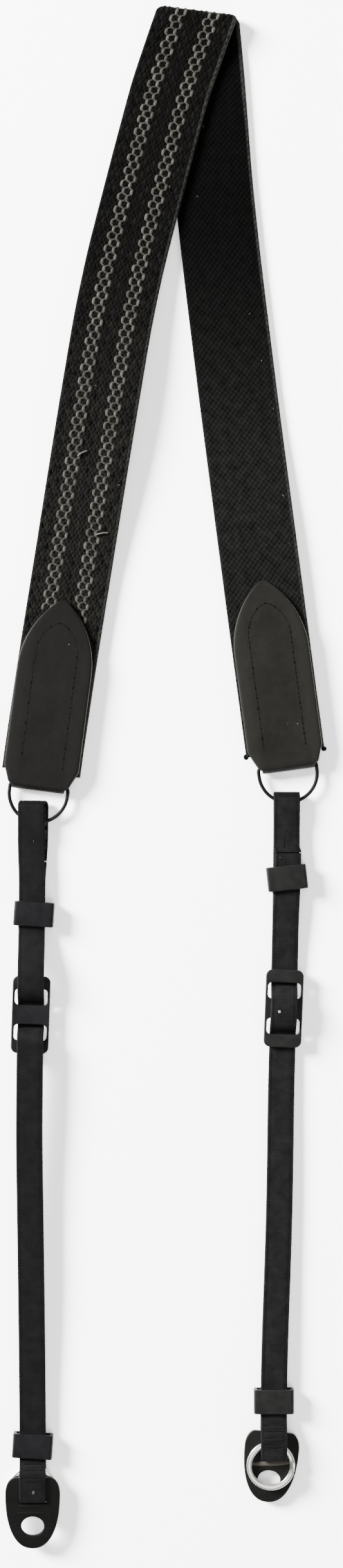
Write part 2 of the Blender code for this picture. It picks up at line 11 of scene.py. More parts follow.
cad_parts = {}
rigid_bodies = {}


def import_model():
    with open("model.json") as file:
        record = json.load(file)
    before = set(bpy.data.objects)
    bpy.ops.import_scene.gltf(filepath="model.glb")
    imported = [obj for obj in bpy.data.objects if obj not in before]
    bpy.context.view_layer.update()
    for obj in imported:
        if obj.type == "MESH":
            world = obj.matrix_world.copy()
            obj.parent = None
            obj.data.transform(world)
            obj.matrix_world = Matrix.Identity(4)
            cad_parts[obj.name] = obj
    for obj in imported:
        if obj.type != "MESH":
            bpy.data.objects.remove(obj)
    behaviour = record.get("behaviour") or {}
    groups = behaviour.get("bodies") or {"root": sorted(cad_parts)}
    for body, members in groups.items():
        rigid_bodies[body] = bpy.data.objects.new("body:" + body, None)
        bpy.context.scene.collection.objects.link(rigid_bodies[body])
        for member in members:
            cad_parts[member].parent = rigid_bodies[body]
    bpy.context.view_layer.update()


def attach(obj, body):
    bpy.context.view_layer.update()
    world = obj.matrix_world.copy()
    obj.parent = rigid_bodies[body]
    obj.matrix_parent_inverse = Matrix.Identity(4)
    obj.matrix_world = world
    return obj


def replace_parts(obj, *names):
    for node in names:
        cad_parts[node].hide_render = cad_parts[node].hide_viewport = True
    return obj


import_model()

# The strap lies on white paper, lit from the upper left by a wide window, and is seen from straight above at
# about a metre. The camera's frame is 597 mm high, as 4.08 pixels a millimetre make it.
MM = 0.001
VIEW_MIDDLE = (3.17 * MM, -3.03 * MM)
VIEW_HEIGHT = 597.0 * MM
CAMERA_HEIGHT = 1.0
STRAP_LEVEL = 2.0 * MM      # the height at which the picture has this scale
FLOOR_HALF = 9.0
FLOOR_LEVEL = -0.1 * MM     # just under the strap, so that no faces meet


def linear(code):
    """The linear colour of an sRGB hex value."""
    parts = [int(code[place:place + 2], 16) / 255 for place in (1, 3, 5)]
    return tuple(part / 12.92 if part <= 0.04045 else ((part + 0.055) / 1.055) ** 2.4
                 for part in parts) + (1.0,)


def add_node(tree, kind, links=None, stops=(), **settings):
    """Adds a node with its settings. Each link names an input and gives its value or the output that feeds
    it. Stops are the place and the hex colour of each end of a colour ramp."""
    node = tree.nodes.new(kind)
    for name, value in settings.items():
        setattr(node, name, value)
    for number, (place, code) in enumerate(stops):
        end = node.color_ramp.elements[number]
        end.position, end.color = place, linear(code)
    for name, value in (links or {}).items():
        if isinstance(value, bpy.types.NodeSocket):
            tree.links.new(value, node.inputs[name])
        else:
            node.inputs[name].default_value = value
    return node


def start_surface(name):
    """A new material and its empty tree."""
    surface = bpy.data.materials.new(name)
    surface.use_nodes = True
    surface.node_tree.nodes.clear()
    return surface, surface.node_tree


camera = bpy.data.objects.new("camera", bpy.data.cameras.new("camera"))
camera.data.sensor_width = 36.0
camera.data.lens = 36.0 * CAMERA_HEIGHT / VIEW_HEIGHT
camera.data.clip_end = 20.0
camera.location = (*VIEW_MIDDLE, CAMERA_HEIGHT + STRAP_LEVEL)
bpy.context.scene.collection.objects.link(camera)
bpy.context.scene.camera = camera

floor_mesh = bpy.data.meshes.new("floor")
floor_corners = [(x * FLOOR_HALF, y * FLOOR_HALF, FLOOR_LEVEL)
                 for x, y in ((-1, -1), (1, -1), (1, 1), (-1, 1))]
floor_mesh.from_pydata(floor_corners, [], [(0, 1, 2, 3)])
floor = bpy.data.objects.new("floor", floor_mesh)
bpy.context.scene.collection.objects.link(floor)
# Matt white paper. It reflects more than paper can, so that it looks as white as in the photo.
paper, tree = start_surface("white_paper")
shader = add_node(tree, "ShaderNodeBsdfDiffuse", {"Color": (2.8, 2.8, 2.8, 1.0)})
add_node(tree, "ShaderNodeOutputMaterial", {"Surface": shader.outputs[0]})
floor_mesh.materials.append(paper)

world = bpy.data.worlds.new("studio")
world.use_nodes = True
world.node_tree.nodes["Background"].inputs["Color"].default_value = (1.0, 1.0, 1.0, 1.0)
world.node_tree.nodes["Background"].inputs["Strength"].default_value = 0.2
bpy.context.scene.world = world
# The window gives the shadows to the right; the walls and the ceiling only fill them.
for name, place, size, power in (("window", (-2.30, 1.20, 1.20), 1.1, 450.0),
                                 ("near_wall", (1.3, -2.4, 0.9), 1.8, 50.0),
                                 ("back_wall", (0.9, 2.5, 0.9), 1.8, 26.0),
                                 ("ceiling", (0.0, 0.1, 2.4), 1.2, 9.0),
                                 ("low_panel", (0.0, -0.78, 1.9), 0.5, 5.0)):
    lamp = bpy.data.objects.new(name, bpy.data.lights.new(name, "AREA"))
    lamp.data.shape = "DISK"
    lamp.data.size = size
    lamp.data.energy = power
    lamp.location = place
    lamp.rotation_euler = (-Vector(place)).to_track_quat("-Z", "Y").to_euler()
    bpy.context.scene.collection.objects.link(lamp)

# The neck webbing: one 30 mm band of jacquard webbing, black cotton and nylon, folded over once at the top.
# Its face is woven in a honeycomb, with two stripes in pale yarn; its back is a plain black basket weave.
# Its ends are sewn in between the leathers of the two tabs.
NECK_WIDTH = 30.0 * MM
NECK_THICKNESS = 1.8 * MM
FLOAT_RISE = 0.2 * MM       # how far the face's yarns stand on it
NECK_STEP = 1.7 * MM        # from one row of the band's mesh to the next
FOLD_RADIUS = 2.0 * MM
FOLD_SETTLE = 22.0 * MM     # in this length from the fold the upper run sinks onto the lower one
FOLD_CORNER = 2.0 * MM      # radius of the fold's two corners, seen from above
NECK_SHORT = 7.0 * MM       # the webbing ends this far before the tab's fold
GAP = 0.3 * MM              # between pieces that lie on each other
TAB_LENGTH = 73.0 * MM
TAB_MIDDLE = 2.5 * MM       # height of a tab's middle
FOLD_AT = Vector((13.6, 291.0)) * MM
LAYOUT_SHIFT = Vector((-0.018, 0.397)) * MM     # from the drawing's middle to the part's origin

# How the two runs lie, from the fold to the tabs' folds. The bow is how far a run stands off the floor on its
# way. Headings are degrees from straight down the picture, towards its right, each at a share of the run.
Run = namedtuple("Run", "name face_up length bow headings")
RUNS = (
    Run("left", True, 300.9 * MM, 3.0 * MM,
        ((0.0, -20.0), (0.05, -19.6), (0.14, -15.0), (0.28, -14.3), (0.36, -11.8), (0.43, -9.5), (0.75, -9.2),
         (0.9, -8.5), (1.0, -7.5))),
    Run("right", False, 288.5 * MM, 0.0,
        ((0.0, 5.5), (0.15, 4.2), (0.28, 6.2), (0.38, 7.0), (0.6, 7.4), (1.0, 7.7))),
)


def ease(share):
    """A smooth step from 0 to 1."""
    return 0.5 - 0.5 * math.cos(math.pi * min(max(share, 0.0), 1.0))


def read_table(rows, at):
    """Value of a table of (place, value) rows at a place, joined by smooth steps."""
    for (low, first), (high, last) in zip(rows, rows[1:]):
        if at <= high:
            return first + (last - first) * ease((at - low) / (high - low))
    return rows[-1][1]


class Route:
    """A centre line on the floor, walked from its start by a table of headings."""

    STEPS = 200

    def __init__(self, start, headings, length):
        self.headings, self.length = headings, length
        self.points = [Vector(start)]
        for step in range(self.STEPS):
            forward = self.forward((step + 0.5) * length / self.STEPS)
            self.points.append(self.points[-1] + forward * length / self.STEPS)

    def heading(self, along):
        return math.radians(read_table(self.headings, min(max(along / self.length, 0.0), 1.0)))

    def forward(self, along):
        return Vector((math.sin(self.heading(along)), -math.cos(self.heading(along))))

    def side(self, along):
        return Vector((math.cos(self.heading(along)), math.sin(self.heading(along))))

    def point(self, along):
        place = min(max(along / self.length, 0.0), 1.0) * self.STEPS
        index = min(int(place), self.STEPS - 1)
        base = self.points[index].lerp(self.points[index + 1], place - index)
        return base + self.forward(along) * (along - min(max(along, 0.0), self.length))


def show(name, mesh, slot_name, *surfaces):
    """Puts a finished piece in the scene with the surfaces given: it rides on the body. Its slot name is not
    used.
    """
    for surface in surfaces:
        mesh.materials.append(surface)
    piece = bpy.data.objects.new(name, mesh)
    bpy.context.scene.collection.objects.link(piece)
    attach(piece, "root")
    return piece


def band_mesh(name, rows, stations):
    """A closed band. Rows are (middle, half width as a vector, face direction, place along it); stations are
    (share of the half width, height of the face, height of the back). The face takes the first material, the
    back and the edges the second; the map called weave gives places across and along the band in mm."""
    middles, halves, faces_up, along = (np.array(column, float) for column in zip(*rows))
    shares = np.array([station[0] for station in stations])
    tops = np.array([station[1] for station in stations])
    lows = np.array([station[2] for station in stations])
    spread = middles[:, None] + halves[:, None] * shares[None, :, None]
    top = spread + faces_up[:, None] * tops[None, :, None]
    low = spread + faces_up[:, None] * lows[None, :, None]
    ring = np.concatenate([top, low[:, ::-1]], axis=1)
    count, width = ring.shape[1], len(stations)
    across = np.linalg.norm(halves, axis=1)[:, None] * np.concatenate([shares, shares[::-1]])[None] / MM
    index = np.arange(len(rows) * count).reshape(len(rows), count)
    here, after = index[:-1], np.roll(index, -1, axis=1)[:-1]
    there, there_after = index[1:], np.roll(index, -1, axis=1)[1:]
    quads = np.stack([here, after, there_after, there], axis=-1).reshape(-1, 4)
    ends = [tuple(index[0, ::-1]), tuple(index[-1])]
    mesh = bpy.data.meshes.new(name)
    mesh.from_pydata([tuple(point) for point in ring.reshape(-1, 3)], [],
                     [tuple(quad) for quad in quads] + ends)
    weave = mesh.uv_layers.new(name="weave")
    places = np.empty((len(mesh.loops), 2))
    corners = np.empty(len(mesh.loops), int)
    mesh.loops.foreach_get("vertex_index", corners)
    places[:, 0] = across.reshape(-1)[corners]
    places[:, 1] = np.repeat(along / MM, count)[corners]
    weave.data.foreach_set("uv", places.reshape(-1))
    sides = np.zeros(len(mesh.polygons), int)
    sides[:len(quads)] = np.arange(len(quads)) % count >= width - 1
    mesh.polygons.foreach_set("material_index", sides)
    mesh.shade_smooth()
    mesh.set_sharp_from_angle(angle=math.radians(60))
    mesh.update()
    return mesh


routes = {}
front, rear = RUNS[0].headings[0][1], RUNS[1].headings[0][1]
fold_turn, fold_half = math.radians((front + rear) / 2), math.radians((rear - front) / 2)
fold_in = Vector((math.sin(fold_turn), -math.cos(fold_turn)))
crease = Vector((math.cos(fold_turn), math.sin(fold_turn)))
fold_top = FOLD_AT + LAYOUT_SHIFT + fold_in * NECK_THICKNESS / 2
fold_drift = crease * (math.pi / 2 * FOLD_RADIUS * math.tan(fold_half))
for run, sign in zip(RUNS, (-1, 1)):
    routes[run.name] = Route(fold_top + fold_in * FOLD_RADIUS + fold_drift * sign, run.headings, run.length)

lying = NECK_THICKNESS / 2                          # height of the middle where the band lies on the floor
over = lying + NECK_THICKNESS + GAP                 # and where it lies on the other run
crossing = NECK_WIDTH / 2 / math.sin(fold_half)     # from the fold to where the runs part
halves = []
for run, turned, start in zip(RUNS, (fold_half, -fold_half), (lying + 2 * FOLD_RADIUS, lying)):
    route = routes[run.name]
    free = over if run.face_up else lying
    tip, end = run.length - TAB_LENGTH, run.length - NECK_SHORT
    heights = [(0.0, start), (FOLD_SETTLE, free), (crossing, free), ((crossing + tip) / 2, free + run.bow),
               (tip - 2 * GAP, TAB_MIDDLE), (end, TAB_MIDDLE)]
    half_line = []
    for step in range(math.ceil(end / NECK_STEP) + 1):
        along = min(step * NECK_STEP, end)
        skew = turned * ease((2.2 * FOLD_SETTLE - along) / FOLD_SETTLE)
        heading = route.heading(along) + skew
        half = Vector((math.cos(heading), math.sin(heading), 0.0)) * (NECK_WIDTH / 2 / math.cos(skew))
        half_line.append((route.point(along).to_3d() + Vector((0, 0, read_table(heights, along))), half))
    halves.append(half_line)
bend = []
for step in range(1, 16):
    turn = math.pi * step / 16
    middle = (fold_top + fold_in * FOLD_RADIUS * (1 - math.sin(turn))
              + crease * ((turn - math.pi / 2) * FOLD_RADIUS * math.tan(fold_half))).to_3d()
    middle.z = lying + FOLD_RADIUS * (1 + math.cos(turn))
    inside = max(FOLD_CORNER - FOLD_RADIUS * (1 - math.sin(turn)), 0)
    cut = FOLD_CORNER - math.sqrt(FOLD_CORNER ** 2 - inside ** 2)
    bend.append((middle, crease.to_3d() * (NECK_WIDTH / 2 / math.cos(fold_half) - cut)))
neck_line = list(reversed(halves[0])) + bend + halves[1]


def banded(line):
    """Rows of a band from (middle, half width) pairs: adds the face's direction and the place along."""
    rows, along = [], 0.0
    for index, (middle, half) in enumerate(line):
        before, after = line[max(index - 1, 0)][0], line[min(index + 1, len(line) - 1)][0]
        if index:
            along += (middle - before).length
        rows.append((middle, half, half.cross(after - before).normalized(), along))
    return rows


def whole_band(profile):
    """A band's stations from those of one half, given from the edge inward."""
    top, low = profile[-1][1:]
    return [(-share, *heights) for share, *heights in profile] + [(0.0, top, low)] + profile[::-1]


neck_rows = banded(neck_line)
# The selvedge is thinner and rounded; the face lies lower than the solid's by the height of its yarns.
FACE = NECK_THICKNESS / 2 - FLOAT_RISE
BACK = -NECK_THICKNESS / 2
neck_profile = [(1.0, 0.10 * MM, -0.35 * MM), (0.988, 0.42 * MM, -0.68 * MM), (0.965, 0.62 * MM, -0.84 * MM)]
neck_profile += [(share, FACE, BACK) for share in (0.93, 0.86, 0.74, 0.58, 0.40, 0.20)]

# The cloth is painted darker towards the fold and stays paler towards both ends, between these two heights in
# the picture.
FOLD_DARK_FROM, FOLD_DARK_TO = 100 * MM, 220 * MM
# Where the painted highlight along the right edge lies, mm from the middle.
EDGE_LIGHT_FROM, EDGE_LIGHT_TO = 13.6, 14.2     # the face's rubbed edge, mm from the middle


def near_fold(tree, strength):
    """A factor that falls from 1 at the strap's ends to 1 - strength near its fold."""
    where = add_node(tree, "ShaderNodeTexCoord")
    split = add_node(tree, "ShaderNodeSeparateXYZ", {"Vector": where.outputs["Object"]})
    return add_node(tree, "ShaderNodeMapRange", {
        "Value": split.outputs["Y"], "From Min": FOLD_DARK_FROM, "From Max": FOLD_DARK_TO, "To Min": 1.0,
        "To Max": 1.0 - strength}, interpolation_type="SMOOTHSTEP").outputs["Result"]


def black_cloth(name, across, along, hollow_shade, patches, light, black_fold):
    """Matt black webbing woven in checks of a size in mm. Its hollows are painted darker and its raised checks
    paler, as painted shade and light; wear greys it in patches, and it is blacker near the fold."""
    surface, tree = start_surface(name)
    place = add_node(tree, "ShaderNodeUVMap", uv_map="weave")
    split = add_node(tree, "ShaderNodeSeparateXYZ", {"Vector": place.outputs["UV"]})
    waves = []
    for axis, size in (("X", across), ("Y", along)):
        turn = add_node(tree, "ShaderNodeMath", {0: split.outputs[axis], 1: math.pi / size},
                        operation="MULTIPLY")
        waves.append(add_node(tree, "ShaderNodeMath", {0: turn.outputs[0]}, operation="SINE"))
    checks = add_node(tree, "ShaderNodeMath", {0: waves[0].outputs[0], 1: waves[1].outputs[0]},
                      operation="MULTIPLY")
    mottle = add_node(tree, "ShaderNodeTexNoise", {"Vector": place.outputs["UV"], "Scale": patches,
                                                   "Detail": 4.0, "Roughness": 0.7}, noise_dimensions="2D")
    # The colour follows the checks' relief: painted shade in the hollows, painted light on the raised checks.
    tint = add_node(tree, "ShaderNodeMath", {0: checks.outputs[0], 1: hollow_shade, 2: mottle.outputs["Fac"]},
                    operation="MULTIPLY_ADD")
    faded = add_node(tree, "ShaderNodeMath", {0: tint.outputs[0], 1: near_fold(tree, black_fold)},
                     operation="MULTIPLY")
    shades = add_node(tree, "ShaderNodeValToRGB", {"Fac": faded.outputs[0]},
                      stops=((0.0, "#000000"), (0.85, light)))
    # The edge on the right of the picture is painted as a patchy grey line, a painted highlight where it
    # catches light.
    line = add_node(tree, "ShaderNodeMapRange", {"Value": split.outputs["X"], "From Min": EDGE_LIGHT_FROM,
                                                 "From Max": EDGE_LIGHT_TO})
    rubbed = add_node(tree, "ShaderNodeMath", {0: line.outputs["Result"], 1: mottle.outputs["Fac"]},
                      operation="MULTIPLY")
    colour = add_node(tree, "ShaderNodeMix", {0: rubbed.outputs[0], 6: shades.outputs["Color"],
                                              7: linear("#3b3b38")}, data_type="RGBA")
    relief = add_node(tree, "ShaderNodeBump", {"Height": checks.outputs[0], "Strength": 0.6,
                                               "Distance": 0.13 * MM})
    shader = add_node(tree, "ShaderNodeBsdfPrincipled", {
        "Base Color": colour.outputs[2], "Normal": relief.outputs["Normal"], "Roughness": 0.85,
        "Specular IOR Level": 0.03})
    add_node(tree, "ShaderNodeOutputMaterial", {"Surface": shader.outputs[0]})
    return surface


# Black jacquard face: matt twisted yarn in a fine grid, about 1 mm each way, so it soaks up the light. Its
# back is a basket weave of the same yarn, flatter and more even.
neck_face = black_cloth("black_jacquard_webbing_face", 0.8, 1.275, 0.35, 0.45, "#1d1c1a", 0.6)
neck_back = black_cloth("black_basket_webbing_back", 1.0, 1.15, 0.2, 0.3, "#1c1c1b", 0.8)

neck = show("neck_band", band_mesh("neck_band", neck_rows, whole_band(neck_profile)), "patterned_webbing",
            neck_face, neck_back)
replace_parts(neck, "neck_webbing")

# The face's yarns: each passes over three others, as a short float 2.7 mm long, and the floats stand in
# honeycomb rows 2.55 mm apart. Two stripes of them are pale, tied by thin slanting yarns; the rest are black.
FLOAT_LENGTH = 2.7 * MM
FLOAT_WIDTH = 1.25 * MM
ROW = 2.55                                      # from row to row, mm
STRIPES = (-9.25, 2.95)                         # left edge of each pale stripe, mm from the middle
ROW_FLOATS = ((0.6, 3.8), (1.9, 5.1))           # floats of the two kinds of row, mm from a stripe's left edge
DARK_FLOATS = ((-13.9, -11.9, -1.9, 1.4, 10.9, 13.0), (-12.9, -10.9, -3.3, -0.3, 9.9, 12.0))
Thread = namedtuple("Thread", "length width height unevenness sides rings")
UP = Vector((0, 0, 1))
FULL_SIZE = (1.0, 1.0, 1.0)                     # how far a thread is stretched across, along and up

thread_tree = bpy.data.node_groups.new("threads_on_a_surface", "GeometryNodeTree")
for label, kind in (("Places", "Geometry"), ("Length", "Float"), ("Width", "Float"), ("Height", "Float"),
                    ("Unevenness", "Float"), ("Sides", "Int"), ("Rings", "Int"), ("Seed", "Int"),
                    ("Yarn", "Material")):
    thread_tree.interface.new_socket(label, in_out="INPUT", socket_type=f"NodeSocket{kind}")
thread_tree.interface.new_socket("Threads", in_out="OUTPUT", socket_type="NodeSocketGeometry")
given = add_node(thread_tree, "NodeGroupInput")
ball = add_node(thread_tree, "GeometryNodeMeshUVSphere", {"Segments": given.outputs["Sides"],
                                                          "Rings": given.outputs["Rings"], "Radius": 0.5})
ball_place = add_node(thread_tree, "GeometryNodeInputPosition")
strand = add_node(thread_tree, "GeometryNodeStoreNamedAttribute",
                  {"Geometry": ball.outputs["Mesh"], "Name": "strand", "Value": ball_place.outputs[0]},
                  data_type="FLOAT_VECTOR", domain="POINT")
level = add_node(thread_tree, "GeometryNodeTransform", {"Geometry": strand.outputs[0],
                                                        "Rotation": (math.pi / 2, 0.0, 0.0)})
size = add_node(thread_tree, "ShaderNodeCombineXYZ",
                {"X": given.outputs["Width"], "Y": given.outputs["Length"], "Z": given.outputs["Height"]})
sized = add_node(thread_tree, "GeometryNodeTransform",
                 {"Geometry": level.outputs[0], "Scale": size.outputs[0]})
ahead = add_node(thread_tree, "GeometryNodeInputNamedAttribute", {"Name": "ahead"}, data_type="FLOAT_VECTOR")
up = add_node(thread_tree, "GeometryNodeInputNamedAttribute", {"Name": "up"}, data_type="FLOAT_VECTOR")
stretch = add_node(thread_tree, "GeometryNodeInputNamedAttribute", {"Name": "stretch"},
                   data_type="FLOAT_VECTOR")
point_ahead = add_node(thread_tree, "FunctionNodeAlignRotationToVector", {"Vector": ahead.outputs[0]},
                       axis="Y")
stand_up = add_node(thread_tree, "FunctionNodeAlignRotationToVector",
                    {"Rotation": point_ahead.outputs[0], "Vector": up.outputs[0]}, axis="Z", pivot_axis="Y")
smallest = add_node(thread_tree, "ShaderNodeMath", {0: 1.0, 1: given.outputs["Unevenness"]},
                    operation="SUBTRACT")
largest = add_node(thread_tree, "ShaderNodeMath", {0: 1.0, 1: given.outputs["Unevenness"]}, operation="ADD")
uneven = add_node(thread_tree, "FunctionNodeRandomValue",
                  {"Min": smallest.outputs[0], "Max": largest.outputs[0], "Seed": given.outputs["Seed"]},
                  data_type="FLOAT_VECTOR")
scaled = add_node(thread_tree, "ShaderNodeVectorMath", {0: stretch.outputs[0], 1: uneven.outputs[0]},
                  operation="MULTIPLY")
laid = add_node(thread_tree, "GeometryNodeInstanceOnPoints",
                {"Points": given.outputs["Places"], "Instance": sized.outputs[0],
                 "Rotation": stand_up.outputs[0], "Scale": scaled.outputs[0]})
tone = add_node(thread_tree, "FunctionNodeRandomValue", {"Seed": given.outputs["Seed"]}, data_type="FLOAT")
toned = add_node(thread_tree, "GeometryNodeStoreNamedAttribute",
                 {"Geometry": laid.outputs[0], "Name": "tone", "Value": tone.outputs["Value"]},
                 data_type="FLOAT", domain="INSTANCE")
real = add_node(thread_tree, "GeometryNodeRealizeInstances", {"Geometry": toned.outputs[0]})
smooth = add_node(thread_tree, "GeometryNodeSetShadeSmooth", {"Geometry": real.outputs[0]})
coloured = add_node(thread_tree, "GeometryNodeSetMaterial", {"Geometry": smooth.outputs[0],
                                                             "Material": given.outputs["Yarn"]})
add_node(thread_tree, "NodeGroupOutput", {"Threads": coloured.outputs[0]})


def lay_threads(name, places, thread, seed, yarn):
    """Threads of one kind at (position, ahead, up, stretch) places, as one plain mesh."""
    spots = bpy.data.meshes.new(name)
    spots.from_pydata([tuple(spot[0]) for spot in places], [], [])
    for number, label in enumerate(("ahead", "up", "stretch"), start=1):
        values = spots.attributes.new(label, "FLOAT_VECTOR", "POINT")
        values.data.foreach_set("vector", [part for spot in places for part in spot[number]])
    piece = bpy.data.objects.new(name, spots)
    bpy.context.scene.collection.objects.link(piece)
    lay = piece.modifiers.new("threads", "NODES")
    lay.node_group = thread_tree
    values = {"Length": thread.length, "Width": thread.width, "Height": thread.height,
              "Unevenness": thread.unevenness, "Sides": thread.sides, "Rings": thread.rings, "Seed": seed,
              "Yarn": yarn}
    for item in thread_tree.interface.items_tree:
        if item.in_out == "INPUT" and item.name in values:
            lay[item.identifier] = values[item.name]
    found = piece.evaluated_get(bpy.context.evaluated_depsgraph_get())
    made = bpy.data.meshes.new_from_object(found)
    piece.modifiers.clear()
    piece.data = made
    made.name = name
    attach(piece, "root")
    return piece


def yarn_surface(name, dark, light, strands, roughness, black_fold=0.0, shine=0.08):
    """Matt twisted yarn: its tone changes from thread to thread, and a few strands run along each."""
    surface, tree = start_surface(name)
    tone = add_node(tree, "ShaderNodeAttribute", attribute_name="tone").outputs["Fac"]
    if black_fold:
        tone = add_node(tree, "ShaderNodeMath", {0: tone, 1: near_fold(tree, black_fold)},
                        operation="MULTIPLY").outputs[0]
    shades = add_node(tree, "ShaderNodeValToRGB", {"Fac": tone}, stops=((0.0, dark), (1.0, light)))
    strand = add_node(tree, "ShaderNodeAttribute", attribute_name="strand")
    split = add_node(tree, "ShaderNodeSeparateXYZ", {"Vector": strand.outputs["Vector"]})
    twist = add_node(tree, "ShaderNodeMath", {0: split.outputs["Z"], 1: 0.8, 2: split.outputs["X"]},
                     operation="MULTIPLY_ADD")
    wave = add_node(tree, "ShaderNodeMath", {0: twist.outputs[0], 1: 2 * math.pi * strands},
                    operation="MULTIPLY")
    rise = add_node(tree, "ShaderNodeMath", {0: wave.outputs[0]}, operation="SINE")
    relief = add_node(tree, "ShaderNodeBump", {"Height": rise.outputs[0], "Strength": 0.5,
                                               "Distance": 0.08 * MM})
    shader = add_node(tree, "ShaderNodeBsdfPrincipled", {
        "Base Color": shades.outputs["Color"], "Normal": relief.outputs["Normal"], "Roughness": roughness,
        "Specular IOR Level": shine})
    add_node(tree, "ShaderNodeOutputMaterial", {"Surface": shader.outputs[0]})
    return surface


# Undyed warm grey cotton for the stripes, and the same in black for the rest: soft, without any gloss.
pale_yarn = yarn_surface("pale_cotton_yarn", "#35342f", "#4d4c46", 3, 0.8)
tie_yarn = yarn_surface("pale_cotton_tie_yarn", "#2b2a27", "#3b3a36", 2, 0.8)
black_yarn = yarn_surface("black_cotton_yarn", "#030303", "#1b1b19", 3, 0.9, black_fold=0.45, shine=0.04)

TAB_ARCH = 27.0 * MM
TAB_HALF = 14.3 * MM
TAB_TIP = 3.0 * MM           # radius of the arch's point


def tab_half_width(from_tip):
    """Half a tab's width at a distance from its tip: a small round, then a long arc, then a straight edge."""
    bend = (TAB_HALF ** 2 + (TAB_ARCH - TAB_TIP) ** 2 - TAB_TIP ** 2) / (2 * (TAB_HALF - TAB_TIP))
    meet = TAB_TIP * (1 - (TAB_ARCH - TAB_TIP) / (bend - TAB_TIP))
    if from_tip >= TAB_ARCH:
        return TAB_HALF
    if from_tip > meet:
        return TAB_HALF - bend + math.sqrt(bend ** 2 - (TAB_ARCH - from_tip) ** 2)
    return max(math.sqrt(from_tip * (2 * TAB_TIP - from_tip)), 0.1 * MM)


neck_along = np.array([row[3] for row in neck_rows])
left_tip_at = TAB_LENGTH - NECK_SHORT
right_tip_at = neck_along[-1] - (TAB_LENGTH - NECK_SHORT)


def on_face(across, along, lift):
    """Place, direction ahead and face direction at a spot of the neck webbing's face."""
    index = min(max(int(np.searchsorted(neck_along, along)) - 1, 0), len(neck_rows) - 2)
    first, last = neck_rows[index], neck_rows[index + 1]
    share = (along - first[3]) / (last[3] - first[3])
    middle, half = first[0].lerp(last[0], share), first[1].lerp(last[1], share)
    up = first[2].lerp(last[2], share).normalized()
    return (middle + half * (across / (NECK_WIDTH / 2)) + up * lift, (last[0] - first[0]).normalized(), up)


def bare(across, along):
    """True where neither tab's leather lies on the webbing."""
    for from_tip in (left_tip_at - along, along - right_tip_at):
        if from_tip > 0 and abs(across) < tab_half_width(from_tip) + 0.5 * MM:
            return False
    return True


pale_places, tie_places, black_places = [], [], []
for row in range(int(neck_along[-1] / MM / ROW)):
    along = (row + 0.5) * ROW * MM
    beyond = along + ROW / 2 * MM               # a tie lies halfway to the next row
    for stripe in STRIPES:
        for spot in ROW_FLOATS[row % 2]:
            across = (stripe + spot) * MM
            if not bare(across, along):
                continue
            pale_places.append((*on_face(across, along, FACE - 0.02 * MM), FULL_SIZE))
            for neighbour in ROW_FLOATS[1 - row % 2]:
                reach = abs(neighbour - spot)
                aside = (stripe + (spot + neighbour) / 2) * MM
                if reach < 2.0 and bare(aside, beyond) and beyond <= neck_along[-1]:
                    tie, ahead, up = on_face(aside, beyond, FACE)
                    across_way = ahead.cross(up) * (1 if neighbour > spot else -1)
                    lean = (ahead * 0.8 + across_way * reach).normalized()
                    tie_places.append((tie, lean, up, (1.0, (reach + 0.5) / 1.9, 1.0)))
    for spot in DARK_FLOATS[row % 2]:
        if bare(spot * MM, along):
            black_places.append((*on_face(spot * MM, along, FACE - 0.06 * MM), FULL_SIZE))
lay_threads("pale_floats", pale_places, Thread(FLOAT_LENGTH, FLOAT_WIDTH, 0.44 * MM, 0.08, 8, 6), 3,
            pale_yarn)
lay_threads("pale_ties", tie_places, Thread(2.0 * MM, 0.8 * MM, 0.36 * MM, 0.1, 8, 4), 5, tie_yarn)
lay_threads("black_floats", black_places, Thread(FLOAT_LENGTH, FLOAT_WIDTH, 0.34 * MM, 0.1, 8, 6), 7,
            black_yarn)

# The end tabs: one strip of black leather each, cut to a pointed arch, folded round the D-ring's bar and sewn
# through both leathers and the webbing along two legs and an arch. Its cut edges are left bare.
TAB_LEATHER = 1.3 * MM
TAB_CORNER = 6.4 * MM                           # in this length a tab narrows to its fold
TAB_FOLD_HALF = 11.6 * MM
D_WIDTH = 23.6 * MM                             # of the D-ring that hangs in the fold
D_WIRE = 1.4 * MM
TAB_NECK_HALF = D_WIDTH / 2 - D_WIRE - GAP      # the fold's middle fits inside the D-ring
TAB_BAR = TAB_LENGTH - TAB_MIDDLE               # from a tab's tip to the D-ring's bar
LEAF = TAB_MIDDLE - TAB_LEATHER / 2             # from the middle of the fold to the middle of a leather
TAB_LEAN = {"left": -0.4 * MM, "right": 0.5 * MM}       # how far the fold is cut to one side
TAB_RIM_FROM, TAB_RIM_TO = 8.3, 11.5            # where the rim's wear sets in, mm from the middle


def tab_corner(from_tip):
    """How far a tab has narrowed towards its fold, from 0 to 1."""
    return min(max((from_tip - (TAB_BAR - TAB_CORNER)) / TAB_CORNER, 0.0), 1.0)


def tab_edge(from_tip):
    """Half a tab's width, with its narrowing towards the fold."""
    half = tab_half_width(from_tip)
    return half + (TAB_FOLD_HALF - half) * tab_corner(from_tip)


